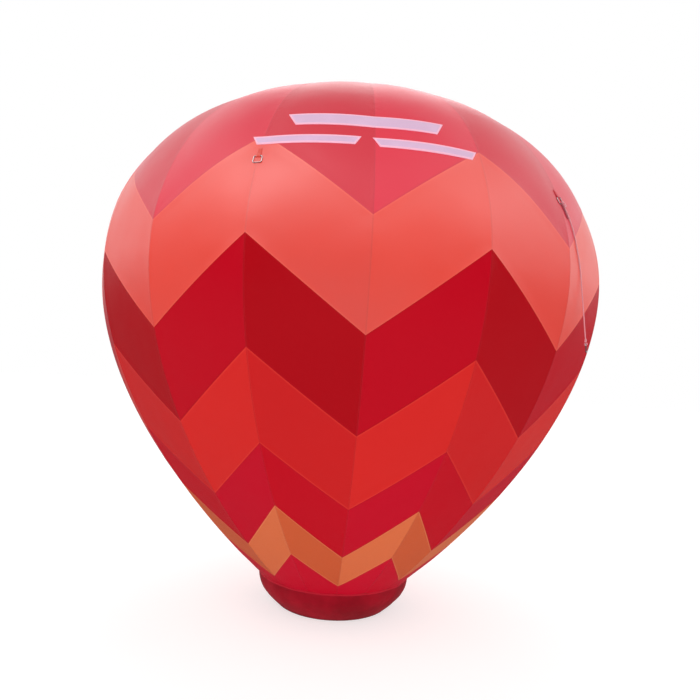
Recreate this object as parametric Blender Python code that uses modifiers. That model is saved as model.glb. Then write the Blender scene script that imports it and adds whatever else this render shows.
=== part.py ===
"""Inflatable ground balloon: sewn chevron bands, base collar, tether points and blower.

Metres, +Z up, origin on the floor under the middle of the balloon.
Seam 0 faces -Y. Seams are numbered round towards +X, and even seams are the low
points of the chevrons. The inflation sleeve and the blower are at the back, +Y.
"""
import math

import bmesh
import bpy
import numpy as np
from mathutils import Matrix, Vector

# Envelope, driving dimensions
HEIGHT = 4.082
EQUATOR_RADIUS = 1.961
EQUATOR_HEIGHT = 2.552
COLLAR_RADIUS = 0.621
COLLAR_HEIGHT = 0.256
FLOOR_RADIUS = 0.465
COLLAR_BELLY = 0.044
DOME_POWER = 2.187
CONE_POWER = 1.825
WALL = 0.010
GORES = 18
GORE_SWELL = 0.008
GORE_COLUMNS = 3
CROWN_HOLE_RADIUS = 0.06
CROWN_CAP_RADIUS = 0.17
CROWN_CAP_THICKNESS = 0.004
SEWN_GAP = 0.0008
CONTACT = 0.0003
LAID_GAP = 0.0010

# Chevron rows: height of the seam between two colours at even and at odd seams
# row name: (height at even seams, height at odd seams)
CHEVRON_ROWS = {
    "shoulder": (2.733, 3.212),
    "equator": (2.098, 2.617),
    "waist": (1.534, 2.004),
    "cone": (1.045, 1.453),
    "neck": (0.647, 1.033),
    "throat": (0.353, 0.638),
}

# Bands from the crown down: name, row above, row below, rows of facets, colour
BANDS = [
    ("crown_red", None, "shoulder", 14, "crown_red"),
    ("band_coral", "shoulder", "equator", 5, "coral"),
    ("band_crimson_upper", "equator", "waist", 4, "crimson"),
    ("band_vermilion", "waist", "cone", 3, "vermilion"),
    ("band_crimson_lower", "cone", "neck", 2, "crimson"),
    ("band_orange", "neck", "throat", 2, "orange"),
    ("throat_crimson", "throat", None, 2, "crimson"),
]

# Hook tapes for a banner: name, low and high height, azimuth of the ends at the
# low and at the high edge, in degrees from the banner's middle
BANNER_MIDDLE = -1.5
TAPE_THICKNESS = 0.0045
TAPE_STEP = 0.75
BANNER_TAPES = [
    ("banner_tape_top", 3.280, 3.366, (-13.1, 13.2), (-15.2, 15.0)),
    ("banner_tape_left", 3.149, 3.205, (-19.5, -1.9), (-20.7, -0.9)),
    ("banner_tape_right", 3.144, 3.204, (2.4, 19.5), (1.1, 20.8)),
]

# Tether points, one at every third seam, and the two opposite ones that hold a line
TETHER_HEIGHT = 3.066
TETHER_SEAMS = [-7, -4, -1, 2, 5, 8]
ROPED_SEAMS = [-7, 2]
LINE_LEAN = math.radians(22.0)
RING_WIDTH = 0.052
RING_DEPTH = 0.044
RING_WIRE = 0.0028
RING_STANDOFF = 0.0105
RING_CORNER = 0.009
TAB_WIDTH = 0.025
TAB_LENGTH = 0.060
TAB_THICKNESS = 0.003
TAB_LIFT = 0.0008
LEANT_TAB_LIFT = 0.0024
TAB_LOOP_WALL = 0.0024
PIN_CLEARANCE = 0.0005
EYE_RADIUS = RING_WIRE + PIN_CLEARANCE + TAB_LOOP_WALL
EYE_RAMP = 0.020
STRAP_WIDTH = 0.022
STRAP_THICKNESS = 0.003
STRAP_LENGTH = 0.105
STRAP_LIFT = 0.0022
ROPE_RADIUS = 0.006
ROPE_LIFT = 0.0020
ROPE_LEAVES_HEIGHT = 2.620
ROPE_END_HEIGHT = 2.165
ROPE_SLANT = (0.15, 0.06)
HOOK_LENGTH = 0.060
HOOK_WIDTH = 0.028
HOOK_BAR = 0.006
HOOK_THICKNESS = 0.006

# Sleeve and blower, behind the collar
DUCT_HEIGHT = 0.130
SLEEVE_RADIUS = 0.0745
SLEEVE_BELLY = 0.010
SLEEVE_WALL = 0.003
COLLAR_CUT_DEPTH = 0.25
SLEEVE_END = 1.085
SPOUT_RADIUS = 0.0710
SPOUT_START = 1.030
SPOUT_WALL = 0.004
BLOWER_Y = 1.335
BLOWER_Z = 0.235
SCROLL_RADIUS = 0.150
SCROLL_GROWTH = 0.055
SCROLL_WIDTH = 0.190
SCROLL_WALL = 0.004
PEDESTAL = (0.190, 0.260, 0.060)
FOOT_RADIUS = 0.016
FOOT_HEIGHT = 0.018
INLET_RADIUS = 0.088
IMPELLER_RADIUS = 0.104
IMPELLER_WIDTH = 0.110
BLADE_COUNT = 16
BLADE_DEPTH = 0.024
BLADE_THICKNESS = 0.003
SHAFT_RADIUS = 0.008
MOTOR_RADIUS = 0.068
MOTOR_LENGTH = 0.105
HANDLE_SPAN = 0.130
HANDLE_RISE = 0.050
HANDLE_RADIUS = 0.009
SADDLE_TOP = 0.414
GUARD_RADIUS = 0.100
GUARD_THICKNESS = 0.003
GUARD_SLOTS = [(0.018, 0.036), (0.042, 0.060), (0.066, 0.084)]
BLADE_LEAN = math.radians(25.0)
SHAFT_IN_MOTOR = 0.022
BUCKLE = (0.026, 0.030, 0.006)
SOCKET = (0.050, 0.014, 0.032)

# Deflation zip on the throat, beside the sleeve
ZIP_AZIMUTH = math.radians(150.0)
ZIP_LOW = 0.298
ZIP_HIGH = 0.596
ZIP_WIDTH = 0.040
ZIP_THICKNESS = 0.003
ZIP_LIFT = 0.0015
SLIDER = (0.014, 0.026, 0.008)

COLUMNS = GORES * GORE_COLUMNS
PI = math.pi

# Colours as seen, sRGB 0 to 255, then roughness and metallic
FINISHES = {
    "crown_red": ((222, 52, 66), 0.45, 0.0),
    "coral": ((236, 96, 82), 0.45, 0.0),
    "crimson": ((190, 6, 32), 0.45, 0.0),
    "vermilion": ((214, 42, 40), 0.45, 0.0),
    "orange": ((214, 102, 56), 0.45, 0.0),
    "maroon": ((142, 18, 32), 0.50, 0.0),
    "lilac_tape": ((232, 196, 222), 0.65, 0.0),
    "red_webbing": ((168, 24, 44), 0.75, 0.0),
    "rope": ((240, 190, 196), 0.80, 0.0),
    "steel": ((205, 205, 210), 0.25, 1.0),
    "blower_plastic": ((38, 40, 44), 0.45, 0.0),
    "motor_metal": ((120, 122, 126), 0.40, 1.0),
    "impeller_plastic": ((205, 205, 200), 0.45, 0.0),
    "rubber": ((22, 22, 23), 0.85, 0.0),
    "black_webbing": ((30, 30, 32), 0.80, 0.0),
}


def clear_scene():
    for obj in list(bpy.data.objects):
        bpy.data.objects.remove(obj, do_unlink=True)


def new_collection(name):
    collection = bpy.data.collections.new(name)
    bpy.context.scene.collection.children.link(collection)
    return collection


clear_scene()
PARTS = new_collection("ground_balloon")
CUTTERS = new_collection("cutters")
MATERIALS = {}


def to_linear(value):
    part = value / 255
    return part / 12.92 if part <= 0.04045 else ((part + 0.055) / 1.055) ** 2.4


def material(finish):
    if finish not in MATERIALS:
        colour, roughness, metallic = FINISHES[finish]
        made = bpy.data.materials.new(finish)
        made.use_nodes = True
        shader = made.node_tree.nodes["Principled BSDF"]
        shader.inputs["Base Color"].default_value = [to_linear(c) for c in colour] + [1.0]
        shader.inputs["Roughness"].default_value = roughness
        shader.inputs["Metallic"].default_value = metallic
        MATERIALS[finish] = made
    return MATERIALS[finish]


def add_object(name, data, finish, collection=None):
    obj = bpy.data.objects.new(name, data)
    (collection or PARTS).objects.link(obj)
    if finish:
        data.materials.clear()
        data.materials.append(material(finish))
    return obj


def smooth(obj, angle=35.0):
    obj.data.shade_smooth()
    obj.data.set_sharp_from_angle(angle=math.radians(angle))
    return obj


def adopt(name, finish, collection=None):
    """Name the object that the last primitive made, and give it its finish."""
    obj = bpy.context.object
    for old in list(obj.users_collection):
        old.objects.unlink(obj)
    (collection or PARTS).objects.link(obj)
    obj.name = name
    obj.data.name = name
    if finish:
        obj.data.materials.append(material(finish))
    return obj


def cylinder(name, finish, radius, length, centre, axis="Z", sides=32, collection=None):
    turn = {"X": (0, PI / 2, 0), "Y": (PI / 2, 0, 0), "Z": (0, 0, 0)}[axis]
    bpy.ops.mesh.primitive_cylinder_add(
        vertices=sides, radius=radius, depth=length, location=centre, rotation=turn)
    return smooth(adopt(name, finish, collection))


def box(name, finish, size, centre, collection=None):
    bpy.ops.mesh.primitive_cube_add(size=1.0, location=centre)
    obj = adopt(name, finish, collection)
    for vertex in obj.data.vertices:
        vertex.co = [c * s for c, s in zip(vertex.co, size)]
    return obj


def as_cutter(obj):
    obj.hide_render = True
    obj.display_type = "WIRE"
    return obj


def boolean(obj, other, operation):
    modifier = obj.modifiers.new(operation.lower() + "_" + other.name, "BOOLEAN")
    modifier.operation = operation
    modifier.solver = "EXACT"
    modifier.object = other
    return obj


def loft(name, sections, finish, cyclic, collection=None):
    """A closed body through closed sections, in order.

    The first half of each section's points is its outer side and the second half its
    inner side, in reverse. Both sides are split along the same diagonals, so that the
    wall between them is even.
    """
    mesh = bpy.data.meshes.new(name)
    work = bmesh.new()
    rings = [[work.verts.new(point) for point in section] for section in sections]
    pairs = list(zip(rings, rings[1:]))
    if cyclic:
        pairs.append((rings[-1], rings[0]))
    for first, second in pairs:
        for i in range(len(first)):
            j = (i + 1) % len(first)
            if i < len(first) / 2:
                work.faces.new((first[i], first[j], second[j]))
                work.faces.new((first[i], second[j], second[i]))
            else:
                work.faces.new((first[i], first[j], second[i]))
                work.faces.new((first[j], second[j], second[i]))
    if not cyclic:
        work.faces.new(list(reversed(rings[0])))
        work.faces.new(rings[-1])
    bmesh.ops.recalc_face_normals(work, faces=work.faces)
    work.to_mesh(mesh)
    work.free()
    return smooth(add_object(name, mesh, finish, collection))


def tube(name, finish, points, radius, cyclic=False, resolution=2):
    """A round bar along a list of points, as a curve with a bevel and filled caps."""
    curve = bpy.data.curves.new(name, "CURVE")
    curve.dimensions = "3D"
    curve.bevel_depth = radius
    curve.bevel_resolution = resolution
    curve.use_fill_caps = not cyclic
    spline = curve.splines.new("POLY")
    spline.points.add(len(points) - 1)
    for target, point in zip(spline.points, points):
        target.co = (*point, 1.0)
    spline.use_cyclic_u = cyclic
    return add_object(name, curve, finish)


def plate(name, finish, outlines, thickness, placing):
    """A flat outline, with holes where later outlines lie inside the first."""
    curve = bpy.data.curves.new(name, "CURVE")
    curve.dimensions = "2D"
    curve.fill_mode = "BOTH"
    curve.extrude = thickness / 2
    for outline in outlines:
        spline = curve.splines.new("POLY")
        spline.points.add(len(outline) - 1)
        for target, (x, y) in zip(spline.points, outline):
            target.co = (x, y, 0.0, 1.0)
        spline.use_cyclic_u = True
    obj = add_object(name, curve, finish)
    obj.matrix_world = placing
    return obj


def arc(centre, radius, start, stop, count):
    """Points on a circle in a plane, from start to stop in degrees."""
    return [
        (centre[0] + radius * math.cos(math.radians(a)), centre[1] + radius * math.sin(math.radians(a)))
        for a in np.linspace(start, stop, count)
    ]


def envelope_profile(count=600):
    """Radius and height of the envelope at a seam, from the crown to the collar."""
    dome_rise = HEIGHT - EQUATOR_HEIGHT
    angle = np.linspace(PI / 2, 0, count)
    dome_radius = EQUATOR_RADIUS * np.cos(angle) ** (2 / DOME_POWER)
    dome_height = EQUATOR_HEIGHT + dome_rise * np.sin(angle) ** (2 / DOME_POWER)
    drop = np.linspace(0, 1, count)[1:]
    cone_radius = EQUATOR_RADIUS - (EQUATOR_RADIUS - COLLAR_RADIUS) * drop ** CONE_POWER
    cone_height = EQUATOR_HEIGHT - (EQUATOR_HEIGHT - COLLAR_HEIGHT) * drop
    dome_radius[0] = 0.0
    return np.append(dome_radius, cone_radius), np.append(dome_height, cone_height)


SEAM_RADIUS, SEAM_HEIGHT = envelope_profile()
STATION = np.append(0.0, np.cumsum(np.hypot(np.diff(SEAM_RADIUS), np.diff(SEAM_HEIGHT))))
LOWEST_STATION = float(STATION[-1])


def station_at_height(height):
    return float(np.interp(-height, -SEAM_HEIGHT, STATION))


def station_at_radius(radius):
    """The station near the crown where the dome has this radius."""
    return float(np.interp(radius, SEAM_RADIUS[:500], STATION[:500]))


def swell(azimuth):
    """How far the gore stands out at this azimuth: creased at seams, full between."""
    return 1 + GORE_SWELL * (abs(math.sin(azimuth * GORES / 2)) - 0.5)


def meridian(station):
    """Radius, height and outward normal (radial, up) of the seam line."""
    step = 0.004
    radius = float(np.interp(station, STATION, SEAM_RADIUS))
    height = float(np.interp(station, STATION, SEAM_HEIGHT))
    before = max(station - step, 0.0)
    after = min(station + step, LOWEST_STATION)
    along_r = float(np.interp(after, STATION, SEAM_RADIUS) - np.interp(before, STATION, SEAM_RADIUS))
    along_z = float(np.interp(after, STATION, SEAM_HEIGHT) - np.interp(before, STATION, SEAM_HEIGHT))
    length = math.hypot(along_r, along_z)
    return radius, height, -along_z / length, along_r / length


def envelope_point(azimuth, station, lift=0.0):
    """A point on the envelope, or lifted off it along the meridian's normal."""
    radius, height, normal_r, normal_z = meridian(station)
    reach = radius * swell(azimuth) + lift * normal_r
    return Vector((reach * math.sin(azimuth), -reach * math.cos(azimuth), height + lift * normal_z))


def seam_azimuth(seam):
    return seam * 2 * PI / GORES


def chevron_station(row, column):
    """Where a zigzag row crosses a column of the grid."""
    even, odd = (station_at_height(h) for h in CHEVRON_ROWS[row])
    place = column / GORE_COLUMNS
    share = abs((place + 1) % 2 - 1)
    return even + (odd - even) * share


def band_edges(above, below, column):
    top = chevron_station(above, column) if above else station_at_radius(CROWN_HOLE_RADIUS)
    bottom = chevron_station(below, column) if below else LOWEST_STATION
    return top + SEWN_GAP / 2, bottom - SEWN_GAP / 2


def band_grid(band, column, row):
    """A corner of the band's facets, on the envelope."""
    _, above, below, rows, _ = band
    top, bottom = band_edges(above, below, column)
    return envelope_point(column * 2 * PI / COLUMNS, top + (bottom - top) * row / rows)


def skin_point(azimuth, station, lift):
    """A point on the flat facets of the bands, where laid pieces rest, or just above."""
    place = (azimuth % (2 * PI)) / (2 * PI / COLUMNS)
    column = int(place)
    across = place - column
    for band in BANDS:
        near, far = (band_edges(band[1], band[2], c) for c in (column, column + 1))
        top = near[0] + (far[0] - near[0]) * across
        bottom = near[1] + (far[1] - near[1]) * across
        if station <= bottom or band[2] is None:
            break
    rows = band[3]
    depth = min(max((station - top) / (bottom - top), 0.0), 1.0) * rows
    row = min(int(depth), rows - 1)
    down = depth - row
    a, b = band_grid(band, column, row), band_grid(band, column, row + 1)
    c, d = band_grid(band, column + 1, row + 1), band_grid(band, column + 1, row)
    point = a + (b - a) * down + (c - b) * across if down > across else a + (d - a) * across + (c - d) * down
    _, _, normal_r, normal_z = meridian(station)
    return point + lift * Vector((normal_r * math.sin(azimuth), -normal_r * math.cos(azimuth), normal_z))


def band_shell(name, band, finish, lift=0.0, spread=0.0, collection=None):
    """A band's wall, its outer face raised by lift and its edges moved out by spread."""
    _, above, below, rows, _ = band
    sections = []
    for column in range(COLUMNS):
        azimuth = column * 2 * PI / COLUMNS
        top, bottom = band_edges(above, below, column)
        top, bottom = top - spread, bottom + spread
        stations = [top + (bottom - top) * i / rows for i in range(rows + 1)]
        outer = [envelope_point(azimuth, s, lift) for s in stations]
        inner = [envelope_point(azimuth, s, -WALL) for s in reversed(stations)]
        sections.append(outer + inner)
    return loft(name, sections, finish, cyclic=True, collection=collection)


def build_bands():
    for band in BANDS:
        band_shell(band[0], band, band[4])


def build_crown_cap():
    """A round patch sewn over the tips of the gores."""
    centre_station = station_at_radius(CROWN_CAP_RADIUS)
    sides = COLUMNS
    rows = 2
    mesh = bpy.data.meshes.new("crown_cap")
    work = bmesh.new()
    layers = []
    for lift in (LAID_GAP + CROWN_CAP_THICKNESS, LAID_GAP):
        rings = []
        for row in range(rows, 0, -1):
            station = centre_station * row / rows
            rings.append([
                work.verts.new(envelope_point(i * 2 * PI / sides, station, lift)) for i in range(sides)
            ])
        pole = work.verts.new((0, 0, HEIGHT + lift))
        layers.append((rings, pole))
    for rings, pole in layers:
        for i in range(sides):
            j = (i + 1) % sides
            work.faces.new((rings[0][i], rings[0][j], rings[1][j], rings[1][i]))
            work.faces.new((rings[1][i], rings[1][j], pole))
    upper, lower = layers[0][0][0], layers[1][0][0]
    for i in range(sides):
        j = (i + 1) % sides
        work.faces.new((upper[i], upper[j], lower[j], lower[i]))
    bmesh.ops.recalc_face_normals(work, faces=work.faces)
    work.to_mesh(mesh)
    work.free()
    smooth(add_object("crown_cap", mesh, "crown_red"))


def collar_radius(share):
    """Outer radius of the collar, from the floor (0) to its top seam (1)."""
    straight = FLOOR_RADIUS + (COLLAR_RADIUS - FLOOR_RADIUS) * share
    return straight + COLLAR_BELLY * math.sin(PI * share)


def collar_shell(name, finish, lift, wall, collection=None):
    """The collar's wall, its outer face lifted off the collar's own by lift."""
    rows = 4
    top = COLLAR_HEIGHT - CONTACT
    sections = []
    for column in range(COLUMNS):
        azimuth = column * 2 * PI / COLUMNS
        outer = []
        inner = []
        for i in range(rows + 1):
            share = 1 - i / rows
            reach = collar_radius(share) * (1 + (swell(azimuth) - 1) * share) + lift
            for depth, into in ((0.0, outer), (wall, inner)):
                into.append(Vector((
                    (reach - depth) * math.sin(azimuth), -(reach - depth) * math.cos(azimuth), top * share)))
        sections.append(outer + inner[::-1])
    return loft(name, sections, finish, cyclic=True, collection=collection)


def build_collar():
    collar_shell("base_collar", "maroon", 0.0, WALL)
    reach = FLOOR_RADIUS - WALL - CONTACT
    cylinder("base_floor", "maroon", reach, WALL, (0, 0, WALL / 2), sides=COLUMNS)


def strip(name, finish, path, width, thickness, lift):
    """A flat strip on the envelope. The path holds (azimuth, station) pairs."""
    sections = []
    for azimuth, station in path:
        radius = max(meridian(station)[0], 0.01)
        half = width / 2 / radius
        sections.append([
            skin_point(azimuth - half, station, lift + thickness),
            skin_point(azimuth + half, station, lift + thickness),
            skin_point(azimuth + half, station, lift),
            skin_point(azimuth - half, station, lift),
        ])
    return loft(name, sections, finish, cyclic=False)


def build_banner_tapes():
    """Three tapes with mitred ends, shorter along the lower edge, cut to lie on the bands."""
    rows = 4
    ground = [
        as_cutter(band_shell("under_" + band[0], band, None, CONTACT, SEWN_GAP, CUTTERS))
        for band in BANDS[:2]
    ]
    for name, low, high, low_ends, high_ends in BANNER_TAPES:
        low_station, high_station = station_at_height(low), station_at_height(high)
        columns = round((high_ends[1] - high_ends[0]) / TAPE_STEP)
        sections = []
        for i in range(columns + 1):
            share = i / columns
            outer = []
            inner = []
            for row in range(rows + 1):
                up = row / rows
                start = low_ends[0] + (high_ends[0] - low_ends[0]) * up
                stop = low_ends[1] + (high_ends[1] - low_ends[1]) * up
                azimuth = math.radians(BANNER_MIDDLE + start + (stop - start) * share)
                station = low_station + (high_station - low_station) * up
                outer.append(skin_point(azimuth, station, TAPE_THICKNESS))
                inner.append(skin_point(azimuth, station, -TAPE_THICKNESS))
            sections.append(outer + inner[::-1])
        tape = loft(name, sections, "lilac_tape", cyclic=False)
        for cutter in ground:
            boolean(tape, cutter, "DIFFERENCE")


def lean_of(seam):
    """How far a tether point is turned from the seam towards its line's pull."""
    return LINE_LEAN if seam in ROPED_SEAMS else 0.0


def line_point(seam, along, lift):
    """A point on the skin, a distance down from a tether point in its own direction."""
    start = station_at_height(TETHER_HEIGHT)
    reach = meridian(start)[0]
    azimuth = seam_azimuth(seam) + along * math.sin(lean_of(seam)) / reach
    return skin_point(azimuth, start + along * math.cos(lean_of(seam)), lift)


def tether_frame(seam):
    """Matrix at a tether point: Y up along its pull, Z out of the envelope, X across."""
    azimuth = seam_azimuth(seam)
    station = station_at_height(TETHER_HEIGHT)
    _, _, normal_r, normal_z = meridian(station)
    out = Vector((normal_r * math.sin(azimuth), -normal_r * math.cos(azimuth), normal_z))
    across = Vector((math.cos(azimuth), math.sin(azimuth), 0.0))
    up = out.cross(across)
    origin = skin_point(azimuth, station, 0.0)
    columns = Matrix((across, up, out)).transposed().to_4x4()
    return Matrix.Translation(origin) @ columns @ Matrix.Rotation(lean_of(seam), 4, "Z")


def tether_name(kind, seam):
    number = TETHER_SEAMS.index(seam) + 1
    return f"tether_{kind}_{number}"


def side_placing(frame):
    """Puts an outline drawn as (down the envelope, outwards) at a tether frame."""
    turn = Matrix(((0, 0, 1), (-1, 0, 0), (0, 1, 0))).to_4x4()
    return frame @ turn


def webbing_eye(eye, tail_line, facing):
    """Outline of a webbing end folded round a bar at eye, its tail along tail_line.

    tail_line holds (along, underside) pairs that lead away from the bar, and
    facing is 1 where the tail runs towards positive along, -1 where it runs back.
    """
    near_top = tail_line[0][1] + TAB_THICKNESS
    join = math.degrees(math.asin((eye[1] - near_top) / EYE_RADIUS))
    loop = [(eye[0] + facing * (x - eye[0]), z) for x, z in arc(eye, EYE_RADIUS, -join, 270, 18)]
    upper = [(x, z + TAB_THICKNESS) for x, z in tail_line[1:]]
    return upper[::-1] + loop + tail_line


def tail_on_skin(seam, frame, first, last, lift):
    """Where a webbing tail lies on the skin, as (down the envelope, outwards) pairs."""
    into_frame = frame.inverted()
    pairs = []
    for along in np.linspace(first, last, 5):
        local = into_frame @ line_point(seam, along, lift)
        pairs.append((-local.y, local.z))
    return pairs


def build_tab(seam, frame):
    eye = (0.0, RING_STANDOFF)
    lift = LEANT_TAB_LIFT if seam in ROPED_SEAMS else TAB_LIFT
    tail_line = [(-0.003, RING_STANDOFF - EYE_RADIUS)]
    tail_line += tail_on_skin(seam, frame, -EYE_RAMP, -TAB_LENGTH, lift)
    outline = webbing_eye(eye, tail_line, facing=-1)
    bore = arc(eye, RING_WIRE + PIN_CLEARANCE, 0, 330, 12)
    finish = "coral" if seam % 2 else "crown_red"
    plate(tether_name("tab", seam), finish, [outline, bore], TAB_WIDTH, side_placing(frame))


def build_ring(seam, frame):
    """A rectangular ring with round corners, its upper bar in the tab's eye."""
    half, depth, corner = RING_WIDTH / 2, RING_DEPTH, RING_CORNER
    corners = [
        ((half - corner, -corner), 90, 0),
        ((half - corner, -depth + corner), 0, -90),
        ((-half + corner, -depth + corner), -90, -180),
        ((-half + corner, -corner), 180, 90),
    ]
    path = []
    for centre, start, stop in corners:
        path += [frame @ Vector((x, y, RING_STANDOFF)) for x, y in arc(centre, corner, start, stop, 4)]
    tube(tether_name("ring", seam), "steel", path, RING_WIRE, cyclic=True)


def build_strap(seam, frame):
    """Webbing that hangs from the ring along the envelope; the rope is tied to it."""
    eye = (RING_DEPTH, RING_STANDOFF)
    tail_line = [(RING_DEPTH + 0.003, RING_STANDOFF - EYE_RADIUS)]
    tail_line += tail_on_skin(seam, frame, RING_DEPTH + EYE_RAMP, RING_DEPTH + STRAP_LENGTH, STRAP_LIFT)
    outline = webbing_eye(eye, tail_line, facing=1)
    bore = arc(eye, RING_WIRE + PIN_CLEARANCE, 0, 330, 12)
    plate(tether_name("strap", seam), "red_webbing", [outline, bore], STRAP_WIDTH, side_placing(frame))


def rope_path(seam):
    """Along the shoulder from the strap's end, then straight to the hook, held taut."""
    strap_end = RING_DEPTH + STRAP_LENGTH
    over_strap = STRAP_LIFT + STRAP_THICKNESS + ROPE_RADIUS + CONTACT
    down_skin = station_at_height(ROPE_LEAVES_HEIGHT) - station_at_height(TETHER_HEIGHT)
    last = down_skin / math.cos(lean_of(seam))
    path = [line_point(seam, strap_end - lap, over_strap) for lap in (0.018, 0.002)]
    for along in np.linspace(strap_end, last, 15)[1:]:
        path.append(line_point(seam, float(along), ROPE_RADIUS + ROPE_LIFT))
    leave = path[-1]
    azimuth = math.atan2(leave.x, -leave.y)
    across = Vector((math.cos(azimuth), math.sin(azimuth), 0))
    out = Vector((math.sin(azimuth), -math.cos(azimuth), 0))
    drift = across * ROPE_SLANT[0] + out * ROPE_SLANT[1] - Vector((0, 0, 1))
    for drop in (0.04, leave.z - ROPE_END_HEIGHT):
        path.append(leave + drift * drop)
    return path


def build_rope(seam):
    path = rope_path(seam)
    tube(tether_name("rope", seam), "rope", path, ROPE_RADIUS)
    end = path[-1]
    up = (path[-2] - end).normalized()
    away = Vector((end.x, end.y, 0))
    out = (away - up * away.dot(up)).normalized()
    columns = Matrix((up.cross(out), up, out)).transposed().to_4x4()
    half = HOOK_WIDTH / 2
    run = HOOK_LENGTH - HOOK_WIDTH
    centre = end - up * (CONTACT + half)
    outer = arc((0, 0), half, 0, 180, 10) + arc((0, -run), half, 180, 360, 10)
    inner_half = half - HOOK_BAR
    inner = arc((0, 0), inner_half, 0, 180, 8) + arc((0, -run), inner_half, 180, 360, 8)
    placing = Matrix.Translation(centre) @ columns
    plate(tether_name("hook", seam), "steel", [outer, inner], HOOK_THICKNESS, placing)


def build_tethers():
    for seam in TETHER_SEAMS:
        frame = tether_frame(seam)
        build_tab(seam, frame)
        build_ring(seam, frame)
        if seam in ROPED_SEAMS:
            build_strap(seam, frame)
            build_rope(seam)


def turned(name, finish, profile, placing, steps, collection=None):
    """A closed profile of (radius, along) points turned round the local Z axis."""
    mesh = bpy.data.meshes.new(name)
    count = len(profile)
    mesh.from_pydata([(r, 0, z) for r, z in profile], [(i, (i + 1) % count) for i in range(count)], [])
    obj = add_object(name, mesh, finish, collection)
    screw = obj.modifiers.new("turn", "SCREW")
    screw.axis = "Z"
    screw.steps = screw.render_steps = steps
    screw.use_merge_vertices = True
    screw.merge_threshold = 0.00005
    obj.matrix_world = placing
    return obj


def along_y(y, z):
    """Local Z runs towards +Y from this place."""
    return Matrix.Translation((0, y, z)) @ Matrix.Rotation(-PI / 2, 4, "X")


def build_sleeve():
    """The fabric duct from the collar to the blower's spout, with its strap."""
    start = FLOOR_RADIUS - 0.05
    length = SLEEVE_END - start
    outer = []
    inner = []
    for share in (0.0, 0.25, 0.5, 0.7, 0.85, 0.92, 1.0):
        belly = SLEEVE_BELLY * math.sin(PI * min(share / 0.92, 1.0))
        outer.append((SLEEVE_RADIUS + belly, length * share))
        inner.append((SLEEVE_RADIUS + belly - SLEEVE_WALL, length * share))
    sleeve = turned("inflation_sleeve", "crimson", outer[::-1] + inner, along_y(start, DUCT_HEIGHT), 24)
    wall_cutter = as_cutter(collar_shell("collar_cutter", None, CONTACT, COLLAR_CUT_DEPTH, CUTTERS))
    boolean(sleeve, wall_cutter, "DIFFERENCE")
    inside = SLEEVE_RADIUS + CONTACT
    outside = inside + STRAP_THICKNESS
    half = STRAP_WIDTH / 2
    band = [(outside, half), (outside, -half), (inside, -half), (inside, half)]
    turned("sleeve_strap", "black_webbing", band, along_y(SLEEVE_END - 0.026, DUCT_HEIGHT), 24)
    buckle_top = DUCT_HEIGHT + outside + CONTACT
    box("strap_buckle", "steel", BUCKLE, (0, SLEEVE_END - 0.026, buckle_top + BUCKLE[2] / 2))


def across_x(x=0.0):
    """An outline drawn in (Y, Z) and thickened along X, its middle at x."""
    turn = Matrix(((0, 0, 1), (1, 0, 0), (0, 1, 0))).to_4x4()
    return Matrix.Translation((x, 0, 0)) @ turn


def scroll_outline(inset):
    """The blower's spiral case in (Y, Z), with its outlet towards the collar."""
    centre = (BLOWER_Y, BLOWER_Z)
    start, stop = 188.0, -90.0
    points = []
    for angle in np.linspace(start, stop, 25):
        growth = SCROLL_GROWTH * (start - angle) / (start - stop)
        radius = SCROLL_RADIUS + growth - inset
        points += arc(centre, radius, angle, angle, 1)
    outlet_top = BLOWER_Z + SCROLL_RADIUS * math.sin(math.radians(start)) - inset
    points[0] = (points[0][0], outlet_top)
    front = SPOUT_START + 0.09 + inset
    return points + [(front, points[-1][1]), (front, outlet_top)]


def curve_to_mesh(obj):
    """Swap a curve object for a mesh of the same shape, its caps welded."""
    graph = bpy.context.evaluated_depsgraph_get()
    mesh = bpy.data.meshes.new_from_object(obj.evaluated_get(graph))
    work = bmesh.new()
    work.from_mesh(mesh)
    bmesh.ops.remove_doubles(work, verts=work.verts, dist=0.00005)
    work.to_mesh(mesh)
    work.free()
    name, placing, collection = obj.name, obj.matrix_world.copy(), obj.users_collection[0]
    bpy.data.objects.remove(obj, do_unlink=True)
    made = bpy.data.objects.new(name, mesh)
    made.matrix_world = placing
    collection.objects.link(made)
    return made


def to_cutters(obj):
    for collection in list(obj.users_collection):
        collection.objects.unlink(obj)
    CUTTERS.objects.link(obj)
    return as_cutter(obj)


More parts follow.
